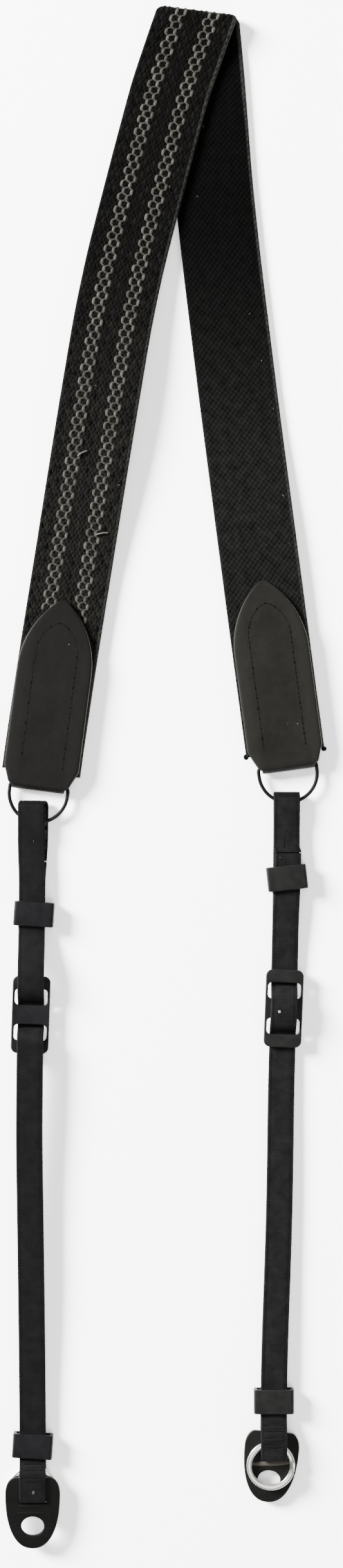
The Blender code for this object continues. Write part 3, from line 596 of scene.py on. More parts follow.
def tab_mesh(name, place, lean):
    """The folded strip in place, its upper leaf first, with eased edges. Its third material is for the upper
    leaf's edge that faces the right of the picture."""
    tips = [TAB_ARCH * (step / 30) ** 2 for step in range(31)]
    straight = [TAB_ARCH + (TAB_BAR - TAB_ARCH) * step / 36 for step in range(1, 37)]
    leaf = [(at, tab_edge(at)) for at in tips + straight]
    line = [(at, TAB_MIDDLE + LEAF, half) for at, half in leaf]
    for step in range(1, 14):
        turn = math.pi * step / 14
        narrowed = min(min(step, 14 - step) / 3, 1.0)
        line.append((TAB_BAR + LEAF * math.sin(turn), TAB_MIDDLE + LEAF * math.cos(turn),
                     TAB_FOLD_HALF - (TAB_FOLD_HALF - TAB_NECK_HALF) * narrowed))
    line += [(at, TAB_MIDDLE - LEAF, half) for at, half in reversed(leaf)]
    rows = banded([(place @ Vector((lean * tab_corner(at), TAB_LENGTH - at, height)),
                    place.to_3x3() @ Vector((-half, 0.0, 0.0))) for at, height, half in line])
    skin = TAB_LEATHER / 2
    edge = ((1.0, 0.35, 0.45), (0.985, 0.7, 0.8), (0.96, 0.88, 0.97), (0.91, 0.96, 1.0), (0.8, 1.0, 1.0),
            (0.6, 1.0, 1.0), (0.4, 1.0, 1.0), (0.2, 1.0, 1.0))
    stations = whole_band([(share, top * skin, -low * skin) for share, top, low in edge])
    mesh = band_mesh(name, rows, stations)
    ring = 2 * len(stations)
    for face in mesh.polygons[:(len(leaf) - 2) * ring]:
        if face.index % ring in (0, ring - 1):
            face.material_index = 2
    return mesh


def seated(route, along, height, shift=0.0, turn=0.0):
    """The place of a piece on a route: its +Y up the route, its +X to the side."""
    spot = route.point(along) + route.side(along) * shift
    return (Matrix.Translation((spot.x, spot.y, height))
            @ Matrix.Rotation(route.heading(along) + math.radians(turn), 4, "Z"))


def leather_surface(name, dark, light):
    """Leather with a smooth, waxed face: fine pores and faint creases."""
    surface, tree = start_surface(name)
    where = add_node(tree, "ShaderNodeTexCoord")
    pores = add_node(tree, "ShaderNodeTexVoronoi", {"Vector": where.outputs["Object"],
                                                    "Scale": 1 / (0.55 * MM)})
    cloud = add_node(tree, "ShaderNodeTexNoise", {"Vector": where.outputs["Object"], "Scale": 1 / (9.0 * MM),
                                                  "Detail": 5.0, "Roughness": 0.6})
    # The rim outside the sewing is rubbed greyer.
    spread = add_node(tree, "ShaderNodeUVMap", uv_map="weave")
    split = add_node(tree, "ShaderNodeSeparateXYZ", {"Vector": spread.outputs["UV"]})
    aside = add_node(tree, "ShaderNodeMath", {0: split.outputs["X"]}, operation="ABSOLUTE")
    rim = add_node(tree, "ShaderNodeMapRange", {"Value": aside.outputs[0], "From Min": TAB_RIM_FROM,
                                                "From Max": TAB_RIM_TO, "To Max": 0.3})
    wear = add_node(tree, "ShaderNodeMath", {0: cloud.outputs["Fac"], 1: rim.outputs["Result"]},
                    operation="ADD")
    shades = add_node(tree, "ShaderNodeValToRGB", {"Fac": wear.outputs[0]},
                      stops=((0.3, dark), (0.75, light)))
    grain = add_node(tree, "ShaderNodeBump", {"Height": pores.outputs["Distance"], "Strength": 0.25,
                                              "Distance": 0.06 * MM})
    creases = add_node(tree, "ShaderNodeBump", {"Height": cloud.outputs["Fac"], "Strength": 0.5,
                                                "Distance": 0.5 * MM, "Normal": grain.outputs["Normal"]})
    shader = add_node(tree, "ShaderNodeBsdfPrincipled", {
        "Base Color": shades.outputs["Color"], "Normal": creases.outputs["Normal"], "Roughness": 0.5,
        "Specular IOR Level": 0.1})
    add_node(tree, "ShaderNodeOutputMaterial", {"Surface": shader.outputs[0]})
    return surface


def cut_edge_surface(name, dark, light):
    """Leather's raw cut edge: fibrous and matt."""
    surface, tree = start_surface(name)
    where = add_node(tree, "ShaderNodeTexCoord")
    fibres = add_node(tree, "ShaderNodeTexNoise", {"Vector": where.outputs["Object"], "Scale": 1 / (0.4 * MM),
                                                   "Detail": 3.0})
    shades = add_node(tree, "ShaderNodeValToRGB", {"Fac": fibres.outputs["Fac"]},
                      stops=((0.3, dark), (0.8, light)))
    fuzz = add_node(tree, "ShaderNodeBump", {"Height": fibres.outputs["Fac"], "Strength": 0.6,
                                             "Distance": 0.1 * MM})
    shader = add_node(tree, "ShaderNodeBsdfPrincipled", {
        "Base Color": shades.outputs["Color"], "Normal": fuzz.outputs["Normal"], "Roughness": 0.8,
        "Specular IOR Level": 0.08})
    add_node(tree, "ShaderNodeOutputMaterial", {"Surface": shader.outputs[0]})
    return surface


# Vegetable-tanned black leather, softly shining and greyer outside its sewing. The right tab's copy is painted
# lighter than the left one's, as painted light falling more on the right of the strap. Where a cut edge faces
# the right of the picture it is painted pale, as a painted highlight on that edge.
tab_leathers = {"left": leather_surface("black_smooth_leather_less_worn", "#0f0e0d", "#151412"),
                "right": leather_surface("black_smooth_leather_worn", "#151412", "#1e1d1a")}
raw_leather = cut_edge_surface("black_leather_cut_edge", "#0e0e0d", "#1b1a18")
painted_highlight_leather = cut_edge_surface("rubbed_leather_edge", "#45443f", "#6d6b64")

# Waxed black thread, and the awl's holes between the stitches, drawn as flat dark patches of painted shade.
thread_black = yarn_surface("waxed_black_thread", "#090908", "#10100f", 2, 0.8)
hole_shade = yarn_surface("awl_hole_painted_shade", "#040404", "#070706", 0, 0.9)

LEG_APART = 8.0 * MM        # from the middle of a tab to a leg of its sewing
LEG_LOW = 9.5 * MM          # the lowest hole, from the fold
LEG_HIGH = TAB_LENGTH - 20.5 * MM       # where the legs turn into the arch, from the fold
ARCH_RISE = 11.7 * MM
ARCH_FORM = (1.25, 1.1)     # the powers that draw a half circle out, across and up, to the arch
STITCH = 3.9 * MM
SEWING_HEIGHT = 2 * TAB_MIDDLE - 0.12 * MM
sewing = [Vector((-LEG_APART, LEG_LOW)), Vector((-LEG_APART, LEG_HIGH))]
for step in range(1, 24):
    turn = math.pi * (1 - step / 24)
    across = math.copysign(abs(math.cos(turn)) ** ARCH_FORM[0], math.cos(turn))
    sewing.append(Vector((LEG_APART * across, LEG_HIGH + ARCH_RISE * math.sin(turn) ** ARCH_FORM[1])))
sewing += [Vector((LEG_APART, LEG_HIGH)), Vector((LEG_APART, LEG_LOW))]
lengths = np.cumsum([0.0] + [(after - before).length for before, after in zip(sewing, sewing[1:])])
stitches = round(lengths[-1] / STITCH)
for run in RUNS:
    place = seated(routes[run.name], run.length, 0.0)
    mesh = tab_mesh(f"tab_leather_{run.name}", place, TAB_LEAN[run.name])
    tab = show(mesh.name, mesh, "leather", tab_leathers[run.name], raw_leather, painted_highlight_leather)
    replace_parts(tab, f"end_tab_{run.name}")
    holes_and_threads = ([], [])
    for number in range(2 * stitches + 1):
        along = lengths[-1] * number / stitches / 2
        index = min(int(np.searchsorted(lengths, along, side="right")) - 1, len(sewing) - 2)
        share = (along - lengths[index]) / (lengths[index + 1] - lengths[index])
        spot = sewing[index].lerp(sewing[index + 1], share)
        ahead = place.to_3x3() @ (sewing[index + 1] - sewing[index]).normalized().to_3d()
        holes_and_threads[number % 2].append((place @ Vector((*spot, SEWING_HEIGHT)), ahead, UP, FULL_SIZE))
    lay_threads(f"tab_stitches_{run.name}", holes_and_threads[1],
                Thread(3.3 * MM, 0.6 * MM, 0.4 * MM, 0.08, 8, 8), 11, thread_black)
    lay_threads(f"tab_awl_shades_{run.name}", holes_and_threads[0],
                Thread(2.1 * MM, 1.15 * MM, 0.3 * MM, 0.12, 12, 6), 13, hole_shade)

# The corners of the webbing's end show beside the right tab's fold, as two small knobs of frayed black yarn
# under the leather's narrowed part.
KNOBS = ((31.6, 7.2, 1.0), (61.2, 10.4, 0.8))       # place in mm, and length
knob_places = [(Vector((x, y, 2.4)) * MM, Vector((0, 1, 0)), UP, (1.0, length, 1.0))
               for x, y, length in KNOBS]
lay_threads("webbing_corners", knob_places, Thread(2.4 * MM, 2.2 * MM, 1.6 * MM, 0.1, 12, 10), 15, black_yarn)

# The D-rings: 1.4 mm steel wire bent to a D, its ends butted in the bar inside the leather, and painted
# black. The narrow webbing is looped round the bow of each.
D_CORNER = 1.6 * MM
D_BELOW = 0.8 * MM          # the middle of the bow, below the tab's fold


def wire_mesh(name, path, section, closed):
    """A wire along a path, with a section of (outward, up) offsets from it."""
    loops = []
    for index, point in enumerate(path):
        before = path[index - 1] if closed else path[max(index - 1, 0)]
        after = path[(index + 1) % len(path)] if closed else path[min(index + 1, len(path) - 1)]
        ahead = (after - before).normalized()
        outward = Vector((ahead.y, -ahead.x, 0.0)).normalized()
        lift = outward.cross(ahead).normalized()
        loops.append([point + outward * across - lift * up for across, up in section])
    count = len(section)
    faces = []
    for ring in range(len(loops) if closed else len(loops) - 1):
        here, there = ring * count, (ring + 1) % len(loops) * count
        for index in range(count):
            after = (index + 1) % count
            faces.append((here + index, here + after, there + after, there + index))
    if not closed:
        faces.append(tuple(reversed(range(count))))
        faces.append(tuple(range((len(loops) - 1) * count, len(loops) * count)))
    mesh = bpy.data.meshes.new(name)
    mesh.from_pydata([tuple(point) for loop in loops for point in loop], [], faces)
    mesh.shade_smooth()
    mesh.set_sharp_from_angle(angle=math.radians(50))
    return mesh


def round_section(radius, sides):
    """The section of a round wire."""
    turns = [2 * math.pi * side / sides for side in range(sides)]
    return [(radius * math.cos(turn), radius * math.sin(turn)) for turn in turns]


def arc(centre, radius, first, last, steps):
    """Points of an arc, with its angles in degrees."""
    turns = [math.radians(first + (last - first) * step / steps) for step in range(steps + 1)]
    return [Vector(centre) + radius * Vector((math.cos(turn), math.sin(turn))) for turn in turns]


# Satin black paint on steel: even, with a soft highlight and a few bright scuffs.
black_paint, tree = start_surface("satin_black_paint")
where = add_node(tree, "ShaderNodeTexCoord")
scuffs = add_node(tree, "ShaderNodeTexNoise", {"Vector": where.outputs["Object"], "Scale": 1 / (1.2 * MM),
                                               "Detail": 4.0})
shades = add_node(tree, "ShaderNodeValToRGB", {"Fac": scuffs.outputs["Fac"]},
                  stops=((0.55, "#0c0c0b"), (0.75, "#191917")))
shader = add_node(tree, "ShaderNodeBsdfPrincipled", {"Base Color": shades.outputs["Color"], "Roughness": 0.5,
                                                     "Specular IOR Level": 0.1})
add_node(tree, "ShaderNodeOutputMaterial", {"Surface": shader.outputs[0]})

reach = D_WIDTH / 2 - D_WIRE / 2
bar = D_BELOW + TAB_MIDDLE
d_path = [point.to_3d() for point in arc((0.0, 0.0), reach, 180, 360, 48)
          + arc((reach - D_CORNER, bar - D_CORNER), D_CORNER, 0, 90, 8)
          + arc((D_CORNER - reach, bar - D_CORNER), D_CORNER, 90, 180, 8)]
for run in RUNS:
    mesh = wire_mesh(f"d_wire_{run.name}", d_path, round_section(D_WIRE / 2, 16), True)
    mesh.transform(seated(routes[run.name], run.length + D_BELOW, TAB_MIDDLE))
    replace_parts(show(mesh.name, mesh, "painted_wire", black_paint), f"d_ring_{run.name}")

# The narrow webbings: 10 mm black nylon. Each is sewn to itself round the D-ring, runs down through the
# keepers and the slide, turns through the guard's slot and round the split ring, and comes back up again.
STRAP_WIDTH = 10.0 * MM
STRAP_THICKNESS = 1.0 * MM
STRAP_REST = 0.2 * MM           # its lowest layer's height between the pieces
STRAP_SETTLE = 9.0 * MM         # in this length below the D-ring its layers come together
SEWN_LENGTH = 21.0 * MM         # from the loop round the D-ring to the sewn end
END_GAP = 0.35 * MM             # from the sewn end to the free one
KEEPER_LENGTH = 9.2 * MM
KEEPER_WALL = 1.2 * MM
KEEPER_STAND = 7.2 * MM         # from a lower keeper to its guard
SLIDE_LENGTH = 29.4 * MM
SLIDE_THICKNESS = 1.8 * MM
SLIDE_SLOT = 6.1 * MM
SLIDE_END_BAR = 4.9 * MM
GUARD_LENGTH = 26.8 * MM
GUARD_THICKNESS = 1.8 * MM
GUARD_SLOT_AT = 8.2 * MM        # from a guard's top
RING_RADIUS = 9.15 * MM
RING_WIDTH = 1.9 * MM
RING_WIRE = 0.75 * MM
SPACING = 1.5 * MM              # the most from one row of the band's mesh to the next
# Half the way from one layer's middle to the other's, then how far other things keep from the middle.
PAIR_HALF = (STRAP_THICKNESS + GAP) / 2
PAIR_REACH = PAIR_HALF + STRAP_THICKNESS / 2 + GAP
LAYER_REACH = STRAP_THICKNESS / 2 + GAP
SLIDE_REACH = SLIDE_THICKNESS / 2 + PAIR_REACH
# Heights above the floor.
KEEPER_MIDDLE = KEEPER_WALL + PAIR_REACH
PAIR_LOW = STRAP_REST + PAIR_REACH - GAP
SLIDE_MIDDLE = PAIR_LOW + SLIDE_REACH
RING_THICKNESS = 2 * RING_WIRE + GAP
RING_LOW = STRAP_THICKNESS + GAP
GUARD_LOW = RING_LOW + RING_THICKNESS + GAP
STACK = GUARD_LOW + GUARD_THICKNESS + GAP + STRAP_THICKNESS

# How the two lie. The loop's top and the drop, which ends at the guard's top, are measured down from the
# middle of the D-ring's bow; the upper keeper and the slide sit at shares of the drop. The bow is how far a
# webbing stands off the floor between slide and lower keeper. The ring's rise is from the guard's slot upward.
Strap = namedtuple("Strap", "name outer_up d_ring_shift loop_top drop bow headings keeper_share slide_share "
                            "ring_rise ring_shift")
STRAPS = (
    Strap("left", True, -2.0 * MM, 2.8 * MM, 260.0 * MM, 3.0 * MM,
          ((0.0, -0.6), (0.4, -0.6), (0.52, 0.8), (1.0, 0.1)), 0.177, 0.324, 3.1 * MM, 0.0),
    Strap("right", False, -0.5 * MM, 7.1 * MM, 250.7 * MM, 0.6 * MM,
          ((0.0, 0.0), (0.2, -0.9), (0.34, -1.8), (0.5, -0.8), (0.72, -2.1), (0.95, 0.3), (1.0, 0.3)),
          0.159, 0.357, -4.3 * MM, -1.2 * MM),
)
# How far the outer and the inner layer lie aside, in mm at a distance from the D-ring's bow.
ASIDE = {"left": (((0.0, -0.7), (17.0, -0.6), (36.0, 0.0), (300.0, 0.0)),
                  ((0.0, 0.8), (17.0, 0.8), (36.0, 0.0), (300.0, 0.0))),
         "right": (((0.0, 0.0), (300.0, 0.0)),
                   ((0.0, 0.0), (28.5, 0.0), (28.6, 0.6), (34.0, 0.6), (60.0, 0.0), (300.0, 0.0)))}


def strap_places(strap):
    """Where each piece sits along a narrow webbing, from the middle of the D-ring's bow."""
    slot = strap.drop + GUARD_SLOT_AT
    return {"keeper": strap.keeper_share * strap.drop, "slide": strap.slide_share * strap.drop,
            "low_keeper": strap.drop - KEEPER_STAND - KEEPER_LENGTH / 2, "slot": slot,
            "ring": slot - strap.ring_rise}


def sample(knots, steps=8):
    """Places and heights through (place, height) knots: level stretches and smooth ramps."""
    line = []
    for (low, first), (high, last) in zip(knots, knots[1:]):
        parts = max(steps if abs(last - first) > GAP / 3 else 1, math.ceil((high - low) / SPACING))
        line += [Vector((low + (high - low) * part / parts, first + (last - first) * ease(part / parts)))
                 for part in range(parts)]
    return line + [Vector(knots[-1])]


def offset_line(line, distances):
    """A line in the side view moved up by a distance at each of its points."""
    moved = []
    for index, point in enumerate(line):
        ahead = (line[min(index + 1, len(line) - 1)] - line[max(index - 1, 0)]).normalized()
        moved.append(point + Vector((-ahead.y, ahead.x)) * distances[index])
    return moved


def wrap(corners, reach, steps=8):
    """A line in the side view that turns round corners at a distance, from heading out to heading back."""
    headings = [Vector((1.0, 0.0))]
    headings += [(after - before).normalized() for before, after in zip(corners, corners[1:])]
    headings.append(Vector((-1.0, 0.0)))
    line = []
    for corner, arriving, leaving in zip(corners, headings, headings[1:]):
        first, turn = math.atan2(arriving.x, -arriving.y), arriving.angle_signed(leaving)
        turned = [first - turn * step / steps for step in range(steps + 1)]
        line += [corner + reach * Vector((math.cos(angle), math.sin(angle))) for angle in turned]
    return line


def strap_line(strap):
    """Side view of a narrow webbing, as (place and height, layer): 1 is the outer layer and 0 the inner."""
    at = strap_places(strap)
    up = 1.0 if strap.outer_up else -1.0
    # Down to the lower keeper the two layers keep to the sides of one middle line.
    bow_reach = D_WIRE / 2 + LAYER_REACH
    loop_middle = strap.loop_top + STRAP_THICKNESS / 2 + bow_reach
    open_end = D_WIDTH / 2 + GAP
    slide_top, slide_low = at["slide"] - SLIDE_LENGTH / 2, at["slide"] + SLIDE_LENGTH / 2
    over, under = SLIDE_MIDDLE + up * SLIDE_REACH, SLIDE_MIDDLE - up * SLIDE_REACH
    knots = [(loop_middle, TAB_MIDDLE), (open_end + STRAP_SETTLE, TAB_MIDDLE),
             (at["keeper"] - KEEPER_LENGTH / 2, KEEPER_MIDDLE),
             (at["keeper"] + KEEPER_LENGTH / 2, KEEPER_MIDDLE),
             (slide_top, over), (slide_top + SLIDE_END_BAR, over),
             (slide_top + SLIDE_END_BAR + SLIDE_SLOT, under), (slide_low - SLIDE_END_BAR - SLIDE_SLOT, under),
             (slide_low - SLIDE_END_BAR, over), (slide_low, over),
             ((slide_low + at["low_keeper"]) / 2, PAIR_LOW + strap.bow),
             (at["low_keeper"] - KEEPER_LENGTH / 2, KEEPER_MIDDLE),
             (at["low_keeper"] + KEEPER_LENGTH / 2 + GAP, KEEPER_MIDDLE)]
    middle = sample(knots)
    spread = [(0.0, bow_reach), (open_end, bow_reach), (open_end + STRAP_SETTLE, PAIR_HALF)]
    apart = [up * read_table(spread, point.x) for point in middle]
    outer, inner = offset_line(middle, apart), offset_line(middle, [-distance for distance in apart])
    # Below it the outer layer runs over the guard to its slot; the inner one comes back from the split ring.
    inside = RING_RADIUS - RING_WIDTH
    ring_edge = at["ring"] - math.sqrt(inside ** 2 - (STRAP_WIDTH / 2 + abs(strap.ring_shift) + GAP) ** 2)
    level = (lambda low: low) if strap.outer_up else (lambda low: STACK - low)
    turns = wrap([Vector((at["slot"], GUARD_LOW + GUARD_THICKNESS)), Vector((at["slot"], GUARD_LOW)),
                  Vector((ring_edge, RING_LOW))], LAYER_REACH)
    high, low = level(STACK - STRAP_THICKNESS / 2), level(STRAP_THICKNESS / 2)
    outer_end = sample([tuple(outer[-1]), (strap.drop - GAP, high), (at["slot"], high)])[1:-1]
    inner_end = sample([tuple(inner[-1]), (at["ring"] - RING_RADIUS - GAP, low), (ring_edge, low)])[1:-1]
    # The inner layer is the sewn end above and the free end's tail below.
    sewn_stop = loop_middle + SEWN_LENGTH
    free_start = sewn_stop + END_GAP
    sewn = [point for point in inner if point.x < sewn_stop]
    tail = [point for point in inner if point.x > free_start]
    sewn.append(Vector((sewn_stop, inner[len(sewn)].y)))
    tail.insert(0, Vector((free_start, tail[0].y)))
    loop = [Vector((loop_middle - bow_reach * math.sin(math.pi * step / 14),
                    TAB_MIDDLE - up * bow_reach * math.cos(math.pi * step / 14))) for step in range(1, 14)]
    line = [(point, 0) for point in reversed(sewn)]
    line += [(point, ease((step + 1) / 14)) for step, point in enumerate(loop)]
    line += [(point, 1) for point in outer + outer_end]
    line += [(Vector((point.x, level(point.y))), 0.5) for point in turns]
    line += [(point, 0) for point in list(reversed(inner_end)) + list(reversed(tail))]
    return line


RIB, WARP = 0.9, 0.7            # from one rib and one warp yarn to the next, mm
GROOVE = 3.9                    # inside the smooth band along each edge, mm from the middle
LOOP_AT = 23.4                  # the turn round the D-ring, mm from the sewn end


def nylon_surface(name, dark, light):
    """Webbing with dense fine ribs across it and a smooth band along each edge."""
    surface, tree = start_surface(name)
    place = add_node(tree, "ShaderNodeUVMap", uv_map="weave")
    split = add_node(tree, "ShaderNodeSeparateXYZ", {"Vector": place.outputs["UV"]})
    rib_wave = add_node(tree, "ShaderNodeMath", {0: split.outputs["Y"], 1: 2 * math.pi / RIB},
                        operation="MULTIPLY")
    ribs = add_node(tree, "ShaderNodeMath", {0: rib_wave.outputs[0]}, operation="SINE")
    warp_wave = add_node(tree, "ShaderNodeMath", {0: split.outputs["X"], 1: 2 * math.pi / WARP},
                         operation="MULTIPLY")
    warps = add_node(tree, "ShaderNodeMath", {0: warp_wave.outputs[0]}, operation="COSINE")
    warp_height = add_node(tree, "ShaderNodeMath", {0: warps.outputs[0], 1: 0.45, 2: 0.55},
                           operation="MULTIPLY_ADD")
    weave = add_node(tree, "ShaderNodeMath", {0: ribs.outputs[0], 1: warp_height.outputs[0]},
                     operation="MULTIPLY")
    edge = add_node(tree, "ShaderNodeMath", {0: split.outputs["X"]}, operation="ABSOLUTE")
    groove = add_node(tree, "ShaderNodeMath", {0: edge.outputs[0], 1: GROOVE, 2: 0.35}, operation="COMPARE")
    depth = add_node(tree, "ShaderNodeMath", {0: groove.outputs[0], 1: -1.5, 2: weave.outputs[0]},
                     operation="MULTIPLY_ADD")
    cloud = add_node(tree, "ShaderNodeTexNoise", {"Vector": place.outputs["UV"], "Scale": 0.22, "Detail": 6.0,
                                                  "Roughness": 0.65}, noise_dimensions="2D")
    # The colour is painted darker in the hollows between ribs and warp yarns, as painted shade, and darker
    # along each groove.
    tint = add_node(tree, "ShaderNodeMath", {0: weave.outputs[0], 1: 0.12, 2: cloud.outputs["Fac"]},
                    operation="MULTIPLY_ADD")
    tint_edge = add_node(tree, "ShaderNodeMath", {0: groove.outputs[0], 1: -0.2, 2: tint.outputs[0]},
                         operation="MULTIPLY_ADD")
    # Where it bends round the D-ring it is painted blacker, as painted shade where the webbing turns away over
    # the ring.
    bend = add_node(tree, "ShaderNodeMath", {0: split.outputs["Y"], 1: LOOP_AT, 2: 2.3}, operation="COMPARE")
    bend_shade_tint = add_node(tree, "ShaderNodeMath", {0: bend.outputs[0], 1: -0.6, 2: tint_edge.outputs[0]},
                         operation="MULTIPLY_ADD")
    shades = add_node(tree, "ShaderNodeValToRGB", {"Fac": bend_shade_tint.outputs[0]},
                      stops=((0.2, dark), (0.85, light)))
    relief = add_node(tree, "ShaderNodeBump", {"Height": depth.outputs[0], "Strength": 0.5,
                                               "Distance": 0.07 * MM})
    shader = add_node(tree, "ShaderNodeBsdfPrincipled", {
        "Base Color": shades.outputs["Color"], "Normal": relief.outputs["Normal"], "Roughness": 0.7,
        "Specular IOR Level": 0.085})
    add_node(tree, "ShaderNodeOutputMaterial", {"Surface": shader.outputs[0]})
    return surface


# Black nylon, slightly shiny. The right side's copy is painted a little greyer than the left one's, as painted
# light falling more on the right of the strap.
nylons = {"left": nylon_surface("black_nylon_webbing_less_worn", "#070707", "#141415"),
          "right": nylon_surface("black_nylon_webbing_worn", "#080808", "#1c1c1c")}

LAYER_HALF = STRAP_THICKNESS / 2
strap_edge = ((1.0, 0.45), (0.985, 0.72), (0.95, 0.93), (0.88, 1.0), (0.78, 0.93), (0.7, 1.0), (0.4, 1.0))
strap_profile = [(share, rise * LAYER_HALF, -rise * LAYER_HALF) for share, rise in strap_edge]
strap_routes, strap_sides = {}, {}


def layer_shift(name, along, layer):
    """How far a layer lies aside at a distance along its webbing; between the layers it is shared."""
    outer_aside, inner_aside = (read_table(table, along / MM) * MM for table in ASIDE[name])
    return outer_aside * layer + inner_aside * (1 - layer)


for strap in STRAPS:
    neck_route = routes[strap.name]
    start = neck_route.point(neck_route.length + D_BELOW) + Vector((strap.d_ring_shift, 0.0))
    route = Route(start, strap.headings, strap.drop + GUARD_LENGTH)
    strap_routes[strap.name] = route
    strap_sides[strap.name] = strap_line(strap)
    line = []
    for point, layer in strap_sides[strap.name]:
        middle = route.point(point.x) + route.side(point.x) * layer_shift(strap.name, point.x, layer)
        line.append((Vector((*middle, point.y)), route.side(point.x).to_3d() * STRAP_WIDTH / 2))
    mesh = band_mesh(f"narrow_band_{strap.name}", banded(line), whole_band(strap_profile))
    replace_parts(show(mesh.name, mesh, "narrow_webbing", nylons[strap.name], nylons[strap.name]),
                f"strap_webbing_{strap.name}")

# Below each lower keeper four rows of heavy thread are sewn across the webbing, and its cloth stands up as
# ribs between them. On the right three stitches of the sewn end show too. On the left an edge is worn to fine
# fluff. Their places are in mm from the D-ring's bow, and from the webbing's middle.
RIBS = {"left": (252.4, 254.2, 256.1, 258.3, 260.6), "right": (246.8, 248.9, 251.1, 253.3, 255.5)}
ROW_STITCHES = (-2.9, -1.45, 0.0, 1.45, 2.9)
SEWN_END_STITCHES, SEWN_END_ASIDE = (24.6, 26.3, 27.6), -0.9
# The ribs are a little greyer than the black thread between them; the fluff is grey.
ribbed_nylon = yarn_surface("ribbed_black_nylon", "#0e0e0e", "#141415", 6, 0.7)
sewing_black = yarn_surface("black_sewing_thread", "#050505", "#0a0a0a", 2, 0.6)
worn_grey = yarn_surface("worn_nylon_fluff", "#1d1d1c", "#3a3a38", 0, 0.9)


def on_strap(name, along, across, lift):
    """Place on the upper face of a webbing's upper layer, with the direction along it and up."""
    along, best = along * MM, None
    for (point, layer), (after, next_layer) in zip(strap_sides[name], strap_sides[name][1:]):
        if min(point.x, after.x) <= along <= max(point.x, after.x) and abs(after.x - point.x) > 1e-9:
            slope = (after.y - point.y) / (after.x - point.x)
            height = point.y + slope * (along - point.x)
            if best is None or height > best[0]:
                best = (height, slope, layer)
    height, slope, layer = best
    route = strap_routes[name]
    side = route.side(along).to_3d()
    ahead = (route.forward(along).to_3d() + UP * slope).normalized()
    up = ahead.cross(side).normalized()
    spot = route.point(along).to_3d() + UP * height + side * (across * MM + layer_shift(name, along, layer))
    return spot + up * (LAYER_HALF + lift * MM), ahead, up


for name in ("left", "right"):
    route = strap_routes[name]
    ribs, rows_of_thread = [], []
    for along in RIBS[name]:
        point, ahead, up = on_strap(name, along, 0.0, -0.10)
        ribs.append((point, route.side(along * MM).to_3d(), up, FULL_SIZE))
    for first, second in zip(RIBS[name], RIBS[name][1:]):
        for across in ROW_STITCHES:
            point, ahead, up = on_strap(name, (first + second) / 2, across, -0.05)
            rows_of_thread.append((point, route.side(first * MM).to_3d(), up, FULL_SIZE))
    if name == "right":
        rows_of_thread += [(*on_strap(name, along, SEWN_END_ASIDE, 0.02), FULL_SIZE)
                           for along in SEWN_END_STITCHES]
    lay_threads(f"cross_ribs_{name}", ribs, Thread(8.4 * MM, 1.5 * MM, 0.5 * MM, 0.04, 12, 12), 17,
                ribbed_nylon)
    lay_threads(f"webbing_stitches_{name}", rows_of_thread, Thread(2.0 * MM, 0.46 * MM, 0.3 * MM, 0.1, 8, 6),
                19, sewing_black)

fluff = []
chance = np.random.default_rng(23)
for number in range(70):
    along = chance.uniform(6.0, 21.0)
    point, ahead, up = on_strap("left", along, 0.0, 0.0)
    aside = strap_routes["left"].side(along * MM).to_3d()
    point += aside * (chance.uniform(4.9, 5.75) * MM) - UP * (chance.uniform(0.3, 1.2) * MM)
    turn = chance.uniform(-0.5, 0.5)
    fluff.append((point, (ahead + aside * turn).normalized(), up, (1.0, chance.uniform(0.5, 1.5), 1.0)))
lay_threads("worn_edge_fluff", fluff, Thread(1.6 * MM, 0.13 * MM, 0.13 * MM, 0.2, 5, 4), 29, worn_grey)

# The keepers: moulded loops of black plastic, 9 mm wide, pushed over both layers of the webbing. Each webbing
# has two, one below its sewn end and one above its guard.
STRAP_CLEAR = 1.4 * MM          # beside the webbing
KEEPER_CORNER = 1.1 * MM
KEEPER_EDGE = 0.3 * MM
# The upper one's shift and turn, then the lower one's.
KEEPER_SEAT = {"left": ((0.8 * MM, -3.1), (0.0, -3.8)), "right": ((0.3 * MM, 6.9), (0.0, 0.6))}


def rounded_rectangle(width, height, radius, steps=8):
    """A counter-clockwise loop round the origin."""
    half_x, half_y = width / 2 - radius, height / 2 - radius
    corners = ((half_x, -half_y, -90), (half_x, half_y, 0), (-half_x, half_y, 90), (-half_x, -half_y, 180))
    return [point for x, y, turn in corners for point in arc((x, y), radius, turn, turn + 90, steps)]


def offset_loop(points, inward):
    """A counter-clockwise loop moved in by a distance."""
    moved = []
    for index, point in enumerate(points):
        ahead = (points[(index + 1) % len(points)] - point).normalized()
        behind = (point - points[index - 1]).normalized()
        normal = Vector((-ahead.y - behind.y, ahead.x + behind.x)).normalized()
        moved.append(point + normal * inward / max(normal.dot(Vector((-ahead.y, ahead.x))), 0.5))
    return moved


